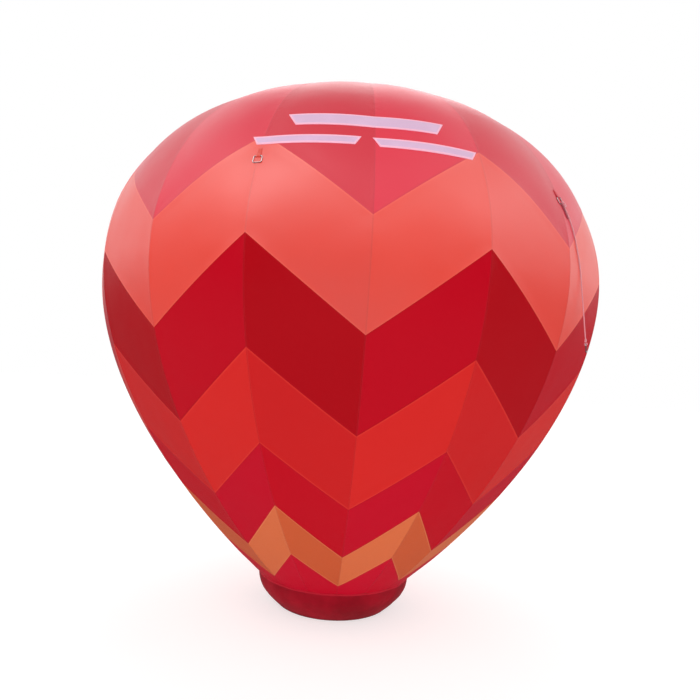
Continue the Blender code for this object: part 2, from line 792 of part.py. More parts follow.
def build_housing():
    housing = curve_to_mesh(plate(
        "blower_housing", "blower_plastic", [scroll_outline(0.0)], SCROLL_WIDTH, across_x()))
    spout_length = 0.12
    spout = cylinder("spout_form", None, SPOUT_RADIUS, spout_length,
                     (0, SPOUT_START + spout_length / 2, DUCT_HEIGHT), "Y", 24, CUTTERS)
    pedestal_low = FOOT_HEIGHT
    pedestal = box("pedestal_form", None, PEDESTAL,
                   (0, BLOWER_Y, pedestal_low + PEDESTAL[2] / 2), CUTTERS)
    saddle = box("saddle_form", None, (0.044, HANDLE_SPAN + 0.040, 0.060),
                 (0, BLOWER_Y, SADDLE_TOP - 0.030), CUTTERS)
    cavity = to_cutters(curve_to_mesh(plate(
        "cavity_form", None, [scroll_outline(SCROLL_WALL)], SCROLL_WIDTH - 2 * SCROLL_WALL, across_x())))
    bore = cylinder("spout_bore", None, SPOUT_RADIUS - SPOUT_WALL, 0.18,
                    (0, SPOUT_START + 0.07, DUCT_HEIGHT), "Y", 24, CUTTERS)
    inlet = cylinder("inlet_bore", None, INLET_RADIUS, 0.04,
                     (SCROLL_WIDTH / 2, BLOWER_Y, BLOWER_Z), "X", 32, CUTTERS)
    shaft = cylinder("shaft_bore", None, SHAFT_RADIUS + 0.006, 0.04,
                     (-SCROLL_WIDTH / 2, BLOWER_Y, BLOWER_Z), "X", 20, CUTTERS)
    for form in (spout, pedestal, saddle):
        boolean(housing, as_cutter(form), "UNION")
    for cutter in (cavity, bore, inlet, shaft):
        boolean(housing, as_cutter(cutter), "DIFFERENCE")


def build_guard():
    """The inlet guard: a flat disc with rows of curved slots."""
    slots = []
    sectors = 4
    bar = 0.006
    for low, high in GUARD_SLOTS:
        for sector in range(sectors):
            half = 180 / sectors
            middle = sector * 360 / sectors + half
            inner_half = half - math.degrees(bar / low)
            outer_half = half - math.degrees(bar / high)
            slots.append(
                arc((BLOWER_Y, BLOWER_Z), high, middle - outer_half, middle + outer_half, 7)
                + arc((BLOWER_Y, BLOWER_Z), low, middle + inner_half, middle - inner_half, 7))
    rim = arc((BLOWER_Y, BLOWER_Z), GUARD_RADIUS, 0, 350, 36)
    x = SCROLL_WIDTH / 2 + CONTACT + GUARD_THICKNESS / 2
    plate("inlet_guard", "steel", [rim] + slots, GUARD_THICKNESS, across_x(x))


def build_impeller():
    centre = (0, BLOWER_Y, BLOWER_Z)
    half = IMPELLER_WIDTH / 2
    disc = 0.004
    impeller = cylinder("impeller", "impeller_plastic", IMPELLER_RADIUS, disc,
                        (-half + disc / 2, BLOWER_Y, BLOWER_Z), "X", 32)
    ring_outline = [arc(centre[1:], IMPELLER_RADIUS, 0, 348.75, 32),
                    arc(centre[1:], IMPELLER_RADIUS - BLADE_DEPTH, 0, 348.75, 32)]
    ring = to_cutters(curve_to_mesh(plate("ring_form", None, ring_outline, disc, across_x(half - disc / 2))))
    boolean(impeller, ring, "UNION")
    middle = IMPELLER_RADIUS - BLADE_DEPTH / 2 - 0.001
    for i in range(BLADE_COUNT):
        angle = i * 2 * PI / BLADE_COUNT
        blade = box(f"blade_form_{i}", None, (IMPELLER_WIDTH - disc, BLADE_THICKNESS, BLADE_DEPTH - 0.006),
                    (0, 0, 0), CUTTERS)
        place = Matrix.Translation(centre) @ Matrix.Rotation(angle, 4, "X")
        lean = Matrix.Rotation(BLADE_LEAN, 4, "X")
        blade.matrix_world = place @ Matrix.Translation((0, 0, middle)) @ lean
        boolean(impeller, as_cutter(blade), "UNION")
    hub = cylinder("hub_form", None, 0.024, 0.040, (-half + 0.020, BLOWER_Y, BLOWER_Z), "X", 20, CUTTERS)
    shaft_end = -SCROLL_WIDTH / 2 - SHAFT_IN_MOTOR
    shaft_start = -half + 0.010
    shaft = cylinder("shaft_form", None, SHAFT_RADIUS, shaft_start - shaft_end,
                     ((shaft_start + shaft_end) / 2, BLOWER_Y, BLOWER_Z), "X", 16, CUTTERS)
    boolean(impeller, as_cutter(hub), "UNION")
    boolean(impeller, as_cutter(shaft), "UNION")


def build_motor():
    near = -SCROLL_WIDTH / 2 - CONTACT
    motor = cylinder("motor", "motor_metal", MOTOR_RADIUS, MOTOR_LENGTH,
                     (near - MOTOR_LENGTH / 2, BLOWER_Y, BLOWER_Z), "X", 32)
    bore = cylinder("motor_bore", None, SHAFT_RADIUS + PIN_CLEARANCE, 0.06,
                    (near, BLOWER_Y, BLOWER_Z), "X", 16, CUTTERS)
    boolean(motor, as_cutter(bore), "DIFFERENCE")


def build_blower_fittings():
    foot_x = PEDESTAL[0] / 2 - 0.024
    foot_y = PEDESTAL[1] / 2 - 0.024
    number = 0
    for x in (-foot_x, foot_x):
        for y in (-foot_y, foot_y):
            number += 1
            height = FOOT_HEIGHT - CONTACT
            cylinder(f"blower_foot_{number}", "rubber", FOOT_RADIUS, height,
                     (x, BLOWER_Y + y, height / 2), "Z", 16)
    foot = SADDLE_TOP + CONTACT
    half = HANDLE_SPAN / 2
    bend = 0.022
    path = [(0, BLOWER_Y - half, foot)]
    path += [(0, y, z) for y, z in arc((BLOWER_Y - half + bend, foot + HANDLE_RISE - bend), bend, 180, 90, 5)]
    path += [(0, y, z) for y, z in arc((BLOWER_Y + half - bend, foot + HANDLE_RISE - bend), bend, 90, 0, 5)]
    path += [(0, BLOWER_Y + half, foot)]
    tube("blower_handle", "rubber", [Vector(p) for p in path], HANDLE_RADIUS)
    back = BLOWER_Y + PEDESTAL[1] / 2 + CONTACT
    box("power_inlet", "rubber", SOCKET, (0, back + SOCKET[1] / 2, FOOT_HEIGHT + PEDESTAL[2] / 2))


def build_zip():
    low, high = station_at_height(ZIP_LOW), station_at_height(ZIP_HIGH)
    path = [(ZIP_AZIMUTH, low + (high - low) * i / 5) for i in range(6)]
    strip("deflation_zip", "black_webbing", path, ZIP_WIDTH, ZIP_THICKNESS, ZIP_LIFT)
    station = station_at_height(ZIP_LOW + 0.05)
    _, _, normal_r, normal_z = meridian(station)
    out = Vector((normal_r * math.sin(ZIP_AZIMUTH), -normal_r * math.cos(ZIP_AZIMUTH), normal_z))
    across = Vector((math.cos(ZIP_AZIMUTH), math.sin(ZIP_AZIMUTH), 0))
    lift = ZIP_LIFT + ZIP_THICKNESS + CONTACT
    placing = Matrix((across, out.cross(across), out)).transposed().to_4x4()
    slider = box("zip_slider", "steel", SLIDER, (0, 0, 0))
    centre = skin_point(ZIP_AZIMUTH, station, lift + SLIDER[2] / 2)
    slider.matrix_world = Matrix.Translation(centre) @ placing
    edge = slider.modifiers.new("edge", "BEVEL")
    edge.width = 0.002
    edge.segments = 2


build_bands()
build_crown_cap()
build_collar()
build_banner_tapes()
build_tethers()
build_sleeve()
build_housing()
build_guard()
build_impeller()
build_motor()
build_blower_fittings()
build_zip()
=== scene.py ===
from functools import partialmethod
from math import atan2, cos, exp, hypot, pi, radians, sin, sqrt, tau

import bmesh
import bpy
import numpy as np
from mathutils import Matrix, Vector


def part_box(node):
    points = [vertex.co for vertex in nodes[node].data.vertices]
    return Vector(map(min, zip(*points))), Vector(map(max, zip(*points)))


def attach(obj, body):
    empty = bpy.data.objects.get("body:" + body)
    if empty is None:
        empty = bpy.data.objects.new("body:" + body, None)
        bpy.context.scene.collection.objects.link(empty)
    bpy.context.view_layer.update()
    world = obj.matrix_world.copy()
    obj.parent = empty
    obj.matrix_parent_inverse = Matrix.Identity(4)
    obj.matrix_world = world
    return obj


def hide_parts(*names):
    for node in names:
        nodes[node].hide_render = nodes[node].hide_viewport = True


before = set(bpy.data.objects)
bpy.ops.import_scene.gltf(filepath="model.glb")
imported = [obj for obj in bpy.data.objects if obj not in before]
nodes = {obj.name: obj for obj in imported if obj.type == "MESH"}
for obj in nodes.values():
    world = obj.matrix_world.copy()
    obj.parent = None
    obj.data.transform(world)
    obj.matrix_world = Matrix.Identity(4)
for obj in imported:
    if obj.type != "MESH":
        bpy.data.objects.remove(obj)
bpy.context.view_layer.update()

# inflatable ground balloon: the looks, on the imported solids
scene = bpy.context.scene
helpers = []
materials = {}


# an object in the scene; a helper goes again at the end
def newObject(name, data, helper=False):
    made = bpy.data.objects.new(name, data)
    scene.collection.objects.link(made)
    if helper:
        helpers.append(made)
    return made


# what an object's modifiers, or a curve's settings, make of it, as a plain mesh
def plainMesh(holder):
    graph = bpy.context.evaluated_depsgraph_get()
    return bpy.data.meshes.new_from_object(holder.evaluated_get(graph))


def withModifier(mesh, kind, **settings):
    holder = newObject("holder", mesh)
    modifier = holder.modifiers.new("finish", kind)
    for key, value in settings.items():
        setattr(modifier, key, value)
    made = plainMesh(holder)
    bpy.data.objects.remove(holder)
    return made


# angles once round, without the last one, which is the first again
def fullTurn(count):
    return np.linspace(0, tau, count + 1)[:-1]


# one socket of a node tree, with the sums that are used on it
class Wire:
    def __init__(self, tree, socket):
        self.tree = tree
        self.socket = socket

    def of(self, name):
        return Wire(self.tree, self.socket.node.outputs[name])

    def maths(self, operation, *others):
        return self.tree.node("ShaderNodeMath", {"operation": operation}, dict(enumerate((self, *others))))

    __add__ = __radd__ = partialmethod(maths, "ADD")
    __mul__ = __rmul__ = partialmethod(maths, "MULTIPLY")
    __sub__ = partialmethod(maths, "SUBTRACT")
    __truediv__ = partialmethod(maths, "DIVIDE")
    __mod__ = partialmethod(maths, "FLOORED_MODULO")
    __abs__ = partialmethod(maths, "ABSOLUTE")
    sin = partialmethod(maths, "SINE")
    cos = partialmethod(maths, "COSINE")
    floor = partialmethod(maths, "FLOOR")
    fract = partialmethod(maths, "FRACT")
    least = partialmethod(maths, "MINIMUM")
    most = partialmethod(maths, "MAXIMUM")

    def __rsub__(self, other):
        return self.tree.node("ShaderNodeMath", {"operation": "SUBTRACT"}, {0: other, 1: self})

    def __neg__(self):
        return self * -1.0

    # 0 at low, 1 at high, smooth between
    def rise(self, low, high):
        return self.tree.node("ShaderNodeMapRange", {"interpolation_type": "SMOOTHSTEP"},
                              {"Value": self, "From Min": low, "From Max": high})


# a shader or geometry tree; every node comes from its one method
class Tree:
    def __init__(self, tree):
        self.tree = tree

    def node(self, kind, settings=None, values=None, out=0):
        made = self.tree.nodes.new(kind)
        for key, value in (settings or {}).items():
            if key == "stops":
                ramp = made.color_ramp.elements
                while len(ramp) < len(value):
                    ramp.new(0.5)
                for stop, (place, colour) in zip(ramp, value):
                    stop.position = place
                    stop.color = (*colour, 1.0)
            else:
                setattr(made, key, value)
        for key, value in (values or {}).items():
            if isinstance(value, Wire):
                self.tree.links.new(value.socket, made.inputs[key])
            else:
                made.inputs[key].default_value = value
        return Wire(self, made.outputs[out]) if len(made.outputs) else made

    def mix(self, factor, first, second, blend="MIX"):
        first, second = (c if isinstance(c, Wire) else (*c, 1.0) for c in (first, second))
        return self.node("ShaderNodeMix", {"data_type": "RGBA", "blend_type": blend},
                         {0: factor, 6: first, 7: second}, out=2)


def linear(red, green, blue):
    parts = [c / 255 for c in (red, green, blue)]
    return tuple(c / 12.92 if c <= 0.04045 else ((c + 0.055) / 1.055) ** 2.4 for c in parts)


# a colour made darker or brighter
def shaded(colour, factor, plus=0.0):
    return tuple(min(1.0, c * factor + plus) for c in colour)


# Principled shader: fixed holds the numbers of its own sockets, paint makes the varying ones
def makeMaterial(name, fixed, paint):
    material = bpy.data.materials.new(name)
    material.use_nodes = True
    shader = material.node_tree.nodes["Principled BSDF"]
    for key, value in {**fixed, **paint(Tree(material.node_tree))}.items():
        if isinstance(value, Wire):
            material.node_tree.links.new(value.socket, shader.inputs[key])
        else:
            shader.inputs[key].default_value = value
    materials[name] = material
    return material


def bump(tree, height, distance, strength=1.0, onto=None):
    values = {"Height": height, "Distance": distance, "Strength": strength}
    if onto is not None:
        values["Normal"] = onto
    return tree.node("ShaderNodeBump", {}, values)


def noise(tree, place, scale, detail=3.0, roughness=0.5):
    return tree.node("ShaderNodeTexNoise", {}, {"Vector": place, "Scale": scale, "Detail": detail,
                                                "Roughness": roughness})


def attribute(tree, name):
    return tree.node("ShaderNodeAttribute", {"attribute_name": name}, {}, out="Fac")


def objectPlace(tree):
    return tree.node("ShaderNodeTexCoord", {}, {}, out="Object")


# flat coordinates of a piece of cloth or webbing, in metres
def clothPlace(tree):
    return tree.node("ShaderNodeSeparateXYZ", {}, {0: tree.node("ShaderNodeUVMap", {"uv_map": "UVMap"})})


# camera where the photograph was taken from, lens in the photograph's own frame
view = {"place": (-0.266, -5.062, 1.895), "turn": 3.396, "pitch": 2.151, "roll": 3.224,
        "focalPixels": 594.5, "framePixels": 700.0}


def makeCamera():
    turn, pitch, roll = (radians(view[k]) for k in ("turn", "pitch", "roll"))
    ahead = Vector((sin(turn) * cos(pitch), cos(turn) * cos(pitch), sin(pitch)))
    level = Vector((cos(turn), -sin(turn), 0.0))
    above = level.cross(ahead)
    right = level * cos(roll) + above * sin(roll)
    up = above * cos(roll) - level * sin(roll)
    data = bpy.data.cameras.new("photoCamera")
    data.sensor_width = 36.0
    data.lens = view["focalPixels"] / view["framePixels"] * data.sensor_width
    camera = newObject("photoCamera", data)
    turned = Matrix((right, up, -ahead)).transposed().to_4x4()
    camera.matrix_world = Matrix.Translation(view["place"]) @ turned
    scene.camera = camera


makeCamera()
print("camera set")


# studio: pale floor, white surround, a soft sky with its bright part higher on the near side, and lamps
studio = {"floorRadius": 60.0, "floorSides": 64, "floorColour": (0.52, 0.52, 0.52), "glow": 0.60,
          "backdrop": 1.0,
          "skyAhead": [(0.0, 0.05), (0.50, 0.06), (0.58, 0.12), (0.68, 0.45), (0.78, 1.35), (0.88, 1.25),
                       (1.0, 0.50)],
          "skyBehind": [(0.0, 0.05), (0.50, 0.25), (0.57, 1.15), (0.70, 1.20), (0.86, 1.20), (0.95, 0.60),
                        (1.0, 0.50)],
          "lamps": {
              "keyLamp": ((-4.5, -5.5, 7.5), 5.0, 96.0, True),
              "sideLamp": ((6.5, -4.0, 5.5), 5.0, 40.0, True),
              "backLamp": ((0.5, 5.5, 8.0), 6.0, 150.0, True),
              "lowLamp": ((-1.0, -7.0, 0.7), 4.0, 40.0, False)}}


def makeStudio():
    scene.view_settings.view_transform = "Standard"
    world = bpy.data.worlds.new("surround")
    scene.world = world
    world.use_nodes = True
    tree = Tree(world.node_tree)
    seen = tree.node("ShaderNodeLightPath", out="Is Camera Ray")
    ray = tree.node("ShaderNodeSeparateXYZ", {}, {0: tree.node("ShaderNodeTexCoord", out="Generated")})
    ahead, behind = [
        tree.node("ShaderNodeValToRGB", {"stops": [(at, (grey,) * 3) for at, grey in studio[half]]},
                  {"Fac": ray.of("Z") * 0.5 + 0.5}) for half in ("skyAhead", "skyBehind")]
    sky = tree.mix(ray.of("Y").rise(-0.3, 0.4), ahead, behind)
    shown = tree.mix(seen, sky, (studio["backdrop"],) * 3)
    surround = world.node_tree.nodes["Background"]
    world.node_tree.links.new(shown.socket, surround.inputs["Color"])
    mesh = bpy.data.meshes.new("studioFloor")
    reach, sides = studio["floorRadius"], studio["floorSides"]
    rim = [(reach * cos(a), reach * sin(a), 0.0) for a in fullTurn(sides)]
    mesh.from_pydata(rim, [], [list(range(sides))])
    floor = newObject("studioFloor", mesh)
    floor.visible_glossy = False

    def paint(tree):
        grain = noise(tree, objectPlace(tree), 3.0)
        colour = studio["floorColour"]
        return {"Base Color": tree.mix(grain, colour, shaded(colour, 0.985)),
                "Roughness": 0.9 + grain * 0.05}

    mesh.materials.append(makeMaterial("paleFloor", {
        "Specular IOR Level": 0.1, "Emission Color": (1.0, 1.0, 1.0, 1.0),
        "Emission Strength": studio["glow"]}, paint))
    for name, (place, size, power, mirrored) in studio["lamps"].items():
        lamp = bpy.data.lights.new(name, "AREA")
        lamp.shape = "DISK"
        lamp.size = size
        lamp.energy = power
        holder = newObject(name, lamp)
        aim = Vector((0.0, 0.0, 2.0)) - Vector(place)
        holder.location = place
        holder.rotation_euler = aim.to_track_quat("-Z", "Y").to_euler()
        holder.visible_glossy = mirrored


makeStudio()
print("studio set")


# the envelope's shape: a domed crown over a cone, in gores
envelope = {"crownHeight": 4.082, "equatorRadius": 1.961, "equatorHeight": 2.552, "throatRadius": 0.621,
            "throatHeight": 0.256, "domePower": 2.187, "conePower": 1.825, "gores": 18, "swell": 0.008,
            "crownHole": 0.06, "wall": 0.006, "seamHalf": 0.009, "seamRidge": 0.0014, "profileSteps": 600,
            "goreColumns": 16, "gather": 0.80, "rowStep": 0.032,
            "flat": 0.92, "flatSeam": 0.010, "flatFrom": (2.60, 3.30), "flatTo": (0.27, 0.50)}

# chevron rows: height of the seam between two colours at even and at odd gore seams
chevronRows = {"shoulder": (2.733, 3.212), "equator": (2.098, 2.617), "waist": (1.534, 2.004),
               "cone": (1.045, 1.453), "neck": (0.647, 1.033), "throat": (0.353, 0.638)}


# reach and height along a gore seam, from the crown to the throat
def profileLine():
    e = envelope
    angle = np.linspace(pi / 2, 0, e["profileSteps"])
    domeReach = e["equatorRadius"] * np.cos(angle) ** (2 / e["domePower"])
    domeReach[0] = 0.0
    domeRise = e["crownHeight"] - e["equatorHeight"]
    domeHeight = e["equatorHeight"] + domeRise * np.sin(angle) ** (2 / e["domePower"])
    drop = np.linspace(0, 1, e["profileSteps"])[1:]
    coneReach = e["equatorRadius"] - (e["equatorRadius"] - e["throatRadius"]) * drop ** e["conePower"]
    coneHeight = e["equatorHeight"] - (e["equatorHeight"] - e["throatHeight"]) * drop
    return np.append(domeReach, coneReach), np.append(domeHeight, coneHeight)


seamReach, seamHeight = profileLine()
seamStation = np.append(0.0, np.cumsum(np.hypot(np.diff(seamReach), np.diff(seamHeight))))
lastStation = float(seamStation[-1])


def stationAtHeight(height):
    return float(np.interp(-height, -seamHeight, seamStation))


def stationAtReach(reach):
    dome = envelope["profileSteps"]
    return float(np.interp(reach, seamReach[:dome], seamStation[:dome]))


def smoothRise(value, low, high):
    share = np.clip((value - low) / (high - low), 0.0, 1.0)
    return share * share * (3 - 2 * share)


# gores stand out round the crown; below the shoulder they are pulled nearly flat from seam to seam
def goreReach(azimuth, height):
    e = envelope
    place = azimuth * e["gores"] / tau
    turn = (place - np.floor(place) - 0.5) * tau / e["gores"]
    chord = cos(pi / e["gores"]) * (1 + turn * turn / 2) + e["flatSeam"]
    full = 1 + e["swell"] * (np.abs(np.sin(place * pi)) - 0.5)
    flat = e["flat"] * (1 - smoothRise(height, *e["flatFrom"])) * smoothRise(height, *e["flatTo"])
    return full + (chord - full) * flat


# points of the skin for arrays of azimuth (radians from seam 0) and station, raised by lift
def onSkin(azimuth, station, lift=0.0):
    azimuth, station, lift = np.broadcast_arrays(azimuth, station, lift)
    reach, height = (np.interp(station, seamStation, s) for s in (seamReach, seamHeight))
    before, after = np.maximum(station - 0.004, 0.0), np.minimum(station + 0.004, lastStation)
    alongR, alongZ = (np.interp(after, seamStation, s) - np.interp(before, seamStation, s)
                      for s in (seamReach, seamHeight))
    length = np.hypot(alongR, alongZ)
    outR, outZ = -alongZ / length, alongR / length
    full = reach * goreReach(azimuth, height) + lift * outR
    return np.stack([full * np.sin(azimuth), -full * np.cos(azimuth), height + lift * outZ], axis=-1)


def skinNormal(azimuth, station):
    return Vector((onSkin(azimuth, station, 1.0) - onSkin(azimuth, station, 0.0)).tolist()).normalized()


def seamAzimuth(seam):
    return seam * tau / envelope["gores"]


# a line of (reach, height) pairs for the trees to read
def lineCurve(name, line):
    curve = bpy.data.curves.new(name, "CURVE")
    curve.dimensions = "3D"
    spline = curve.splines.new("POLY")
    spline.points.add(len(line) - 1)
    for point, (reach, height) in zip(spline.points, line):
        point.co = (reach, 0.0, height, 1.0)
    return newObject(name, curve, helper=True)


def newTree(name, inputs):
    group = bpy.data.node_groups.new(name, "GeometryNodeTree")
    group.interface.new_socket("Geometry", in_out="INPUT", socket_type="NodeSocketGeometry")
    group.interface.new_socket("Geometry", in_out="OUTPUT", socket_type="NodeSocketGeometry")
    for label, kind in inputs.items():
        group.interface.new_socket(label, in_out="INPUT", socket_type="NodeSocket" + kind)
    tree = Tree(group)
    return tree, tree.node("NodeGroupInput")


def closeTree(tree, geometry, material):
    painted = tree.node("GeometryNodeSetMaterial", {}, {"Geometry": geometry, "Material": material})
    tree.node("NodeGroupOutput", {}, {"Geometry": painted})
    return tree.tree


# runs a geometry tree on an object and returns the result as a plain mesh
def bakeTree(host, group, values):
    modifier = host.modifiers.new(group.name, "NODES")
    modifier.node_group = group
    for item in group.interface.items_tree:
        if item.in_out == "INPUT" and item.name in values:
            modifier[item.identifier] = values[item.name]
    mesh = plainMesh(host)
    host.modifiers.remove(modifier)
    return mesh


# what a tree is run on: the given paths as edges, or nothing
def pathHost(name, paths=()):
    points, edges = [], []
    for path in paths:
        start = len(points)
        points += [tuple(float(c) for c in point) for point in path]
        edges += [(i, i + 1) for i in range(start, len(points) - 1)]
    mesh = bpy.data.meshes.new(name)
    mesh.from_pydata(points, edges, [])
    return newObject(name, mesh, helper=True)


# a finished piece: in the scene and on its body; the solids it stands for are hidden
def addPiece(name, mesh, body="balloon", standsFor=()):
    mesh.name = name
    piece = newObject(name, mesh)
    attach(piece, body)
    if standsFor:
        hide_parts(*standsFor)
    return piece


# band of the envelope: a grid bent round the profile, between two zigzag rows. Lean is the gore's width at a
# row's valley over that at its peak: it keeps the row straight on the flat cloth of a gore that narrows
def makeGoreTree():
    sizes = ("Top Valley", "Top Peak", "Top Lean", "Bottom Valley", "Bottom Peak", "Bottom Lean", "Gather",
             "Swell", "Flat", "Flat Seam", "Seam Half", "Seam Ridge")
    tree, given = newTree("goreBand", {**dict.fromkeys(sizes, "Float"), "Profile": "Object", "Rows": "Int",
                                       "Gores": "Int", "Gore Columns": "Int", "Material": "Material"})
    gores = given.of("Gores")
    grid = tree.node("GeometryNodeMeshGrid", {}, {
        "Size X": 1.0, "Size Y": 1.0, "Vertices X": gores * given.of("Gore Columns") + 1,
        "Vertices Y": given.of("Rows") + 1})
    corner = tree.node("ShaderNodeSeparateXYZ", {}, {0: tree.node("GeometryNodeInputPosition")})
    across = (corner.of("X") + 0.5) * gores
    share = across.fract()
    gathered = share - given.of("Gather") * (share * tau).sin() / tau
    place = across.floor() + gathered
    zigzag = abs((place + 1.0) % 2.0 - 1.0)
    down = 0.5 - corner.of("Y")
    top, bottom = [
        given.of(row + " Valley") + (given.of(row + " Peak") - given.of(row + " Valley")) * (
            zigzag * given.of(row + " Lean") / (zigzag * (given.of(row + " Lean") - 1.0) + 1.0))
        for row in ("Top", "Bottom")]
    station = top + (bottom - top) * down
    profile = tree.node("GeometryNodeObjectInfo", {}, {"Object": given.of("Profile")}, out="Geometry")
    sample = tree.node("GeometryNodeSampleCurve", {"mode": "LENGTH"}, {"Curves": profile, "Length": station})
    onLine = tree.node("ShaderNodeSeparateXYZ", {}, {0: sample.of("Position")})
    along = tree.node("ShaderNodeSeparateXYZ", {}, {0: sample.of("Tangent")})
    reach, height = onLine.of("X"), onLine.of("Z")
    seamGap = gathered.least(1.0 - gathered) * reach * tau / gores
    edgeGap = (station - top).least(bottom - station)
    half = given.of("Seam Half")
    onSeam = 1.0 - seamGap.rise(half * 0.7, half)
    onEdge = 1.0 - edgeGap.rise(half * 0.9, half * 1.3)
    lift = given.of("Seam Ridge") * onSeam.most(onEdge)
    azimuth = place * tau / gores
    turn = (gathered - 0.5) * tau / gores
    chord = (turn * turn * 0.5 + 1.0) * cos(pi / envelope["gores"]) + given.of("Flat Seam")
    standing = 1.0 + given.of("Swell") * (abs((place * pi).sin()) - 0.5)
    flatness = given.of("Flat") * (1.0 - height.rise(*envelope["flatFrom"]))
    flatness = flatness * height.rise(*envelope["flatTo"])
    full = reach * (standing + (chord - standing) * flatness) - lift * along.of("Z")
    bent = tree.node("ShaderNodeCombineXYZ", {}, {
        "X": full * azimuth.sin(), "Y": -(full * azimuth.cos()), "Z": height + lift * along.of("X")})
    sheet = tree.node("ShaderNodeCombineXYZ", {}, {"X": place, "Y": station})
    kept = grid
    for label, domain, kind, value in (
            ("gore", "FACE", "FLOAT", across.floor()), ("seamGap", "POINT", "FLOAT", seamGap),
            ("edgeGap", "POINT", "FLOAT", edgeGap), ("UVMap", "CORNER", "FLOAT2", sheet)):
        kept = tree.node("GeometryNodeStoreNamedAttribute", {"domain": domain, "data_type": kind},
                         {"Geometry": kept, "Name": label, "Value": value})
    moved = tree.node("GeometryNodeSetPosition", {}, {"Geometry": kept, "Position": bent})
    closed = tree.node("GeometryNodeMergeByDistance", {}, {"Geometry": moved, "Distance": 0.00005})
    smooth = tree.node("GeometryNodeSetShadeSmooth", {}, {"Geometry": closed})
    return closeTree(tree, smooth, given.of("Material"))


# one material for the whole mesh; smooth but for edges sharper than the angle
def finished(mesh, material, sharp):
    mesh.materials.clear()
    mesh.materials.append(materials[material])
    mesh.shade_smooth()
    mesh.set_sharp_from_angle(angle=radians(sharp))
    return mesh


# a mesh from points and faces, its normals outward; sheet holds flat coordinates in metres, and rim the
# distance to the edge
def meshFrom(points, faces, material, sheet=None, rim=None, sharp=40.0):
    mesh = bpy.data.meshes.new("piece")
    mesh.from_pydata(np.reshape(points, (-1, 3)).tolist(), [], faces)
    if sheet is not None:
        corners = np.zeros(len(mesh.loops), dtype=np.int32)
        mesh.loops.foreach_get("vertex_index", corners)
        flat = np.reshape(sheet, (-1, 2))[corners].ravel()
        mesh.uv_layers.new(name="UVMap").data.foreach_set("uv", flat)
    if rim is not None:
        mesh.attributes.new("rim", "FLOAT", "POINT").data.foreach_set("value", np.ravel(rim))
    work = bmesh.new()
    work.from_mesh(mesh)
    bmesh.ops.recalc_face_normals(work, faces=work.faces)
    work.to_mesh(mesh)
    work.free()
    return finished(mesh, material, sharp)


# faces over rows of points that close round; ring closes the rows too, capped fills the two ends
def tubeFaces(rows, columns, ring=False, capped=False):
    index = np.arange(rows * columns).reshape(rows, columns)
    first, second = (index, np.roll(index, -1, 0)) if ring else (index[:-1], index[1:])
    faces = np.stack([first, np.roll(first, -1, 1), np.roll(second, -1, 1), second], -1)
    faces = faces.reshape(-1, 4).tolist()
    if capped and not ring:
        faces += [index[0][::-1].tolist(), index[-1].tolist()]
    return faces


# a closed flat body over a grid of skin points: its upper side at lift, its underside at base
def skinSlab(azimuth, station, lift, base, material, rim):
    azimuth, station, lift = np.broadcast_arrays(azimuth, station, lift)
    rows, columns = azimuth.shape
    index = np.arange(rows * columns).reshape(rows, columns)
    points = np.concatenate([onSkin(azimuth, station, rise).reshape(-1, 3) for rise in (lift, base)])
    quads = np.stack([index[:-1, :-1], index[1:, :-1], index[1:, 1:], index[:-1, 1:]], -1).reshape(-1, 4)
    around = np.concatenate([index[0, :], index[1:, -1], index[-1, -2::-1], index[-2:0:-1, 0]])
    after = np.roll(around, -1)
    under = index.size
    sides = np.stack([around, after, after + under, around + under], -1)
    faces = np.concatenate([quads, quads[:, ::-1] + under, sides]).tolist()
    reach = np.interp(station, seamStation, seamReach)
    flat = np.stack([azimuth * reach, station], -1).reshape(-1, 2)
    return meshFrom(points, faces, material, np.concatenate([flat, flat]), np.tile(np.ravel(rim), 2))


# a bar of any section along a path; the section is given as (sideways, outwards) pairs
def sweep(path, sideways, section, material, cyclic=False, sharp=40.0):
    path = np.array(path, dtype=float)
    sideways = np.broadcast_to(np.array(sideways, dtype=float), path.shape)
    ahead = np.roll(path, -1, 0) - np.roll(path, 1, 0)
    if not cyclic:
        ahead[0], ahead[-1] = path[1] - path[0], path[-1] - path[-2]
    ahead /= np.linalg.norm(ahead, axis=1)[:, None]
    sideways = sideways - ahead * np.sum(sideways * ahead, 1)[:, None]
    sideways /= np.linalg.norm(sideways, axis=1)[:, None]
    outwards = np.cross(sideways, ahead)
    section = np.array(section)
    count, size = len(path), len(section)
    points = path[:, None] + sideways[:, None] * section[None, :, :1]
    points = points + outwards[:, None] * section[None, :, 1:]
    faces = tubeFaces(count, size, cyclic, capped=True)
    run = np.append(0.0, np.cumsum(np.linalg.norm(np.diff(path, axis=0), axis=1)))
    sheet = np.stack(np.broadcast_arrays(section[None, :, 0], run[:, None]), -1)
    half = np.abs(section[:, 0]).max()
    rim = np.broadcast_to(half - np.abs(section[None, :, 0]), (count, size))
    return meshFrom(points, faces, material, sheet, rim, sharp)


def roundSection(radius, sides=10):
    return [(radius * cos(a), radius * sin(a)) for a in fullTurn(sides)]


def webSection(width, thickness):
    w, t, e = width / 2, thickness / 2, thickness * 0.45
    across = np.linspace(-w + e, w - e, 7)
    return ([(-w, -t * 0.4)] + [(a, -t) for a in across] + [(w, -t * 0.4), (w, t * 0.4)]
            + [(a, t) for a in across[::-1]] + [(-w, t * 0.4)])


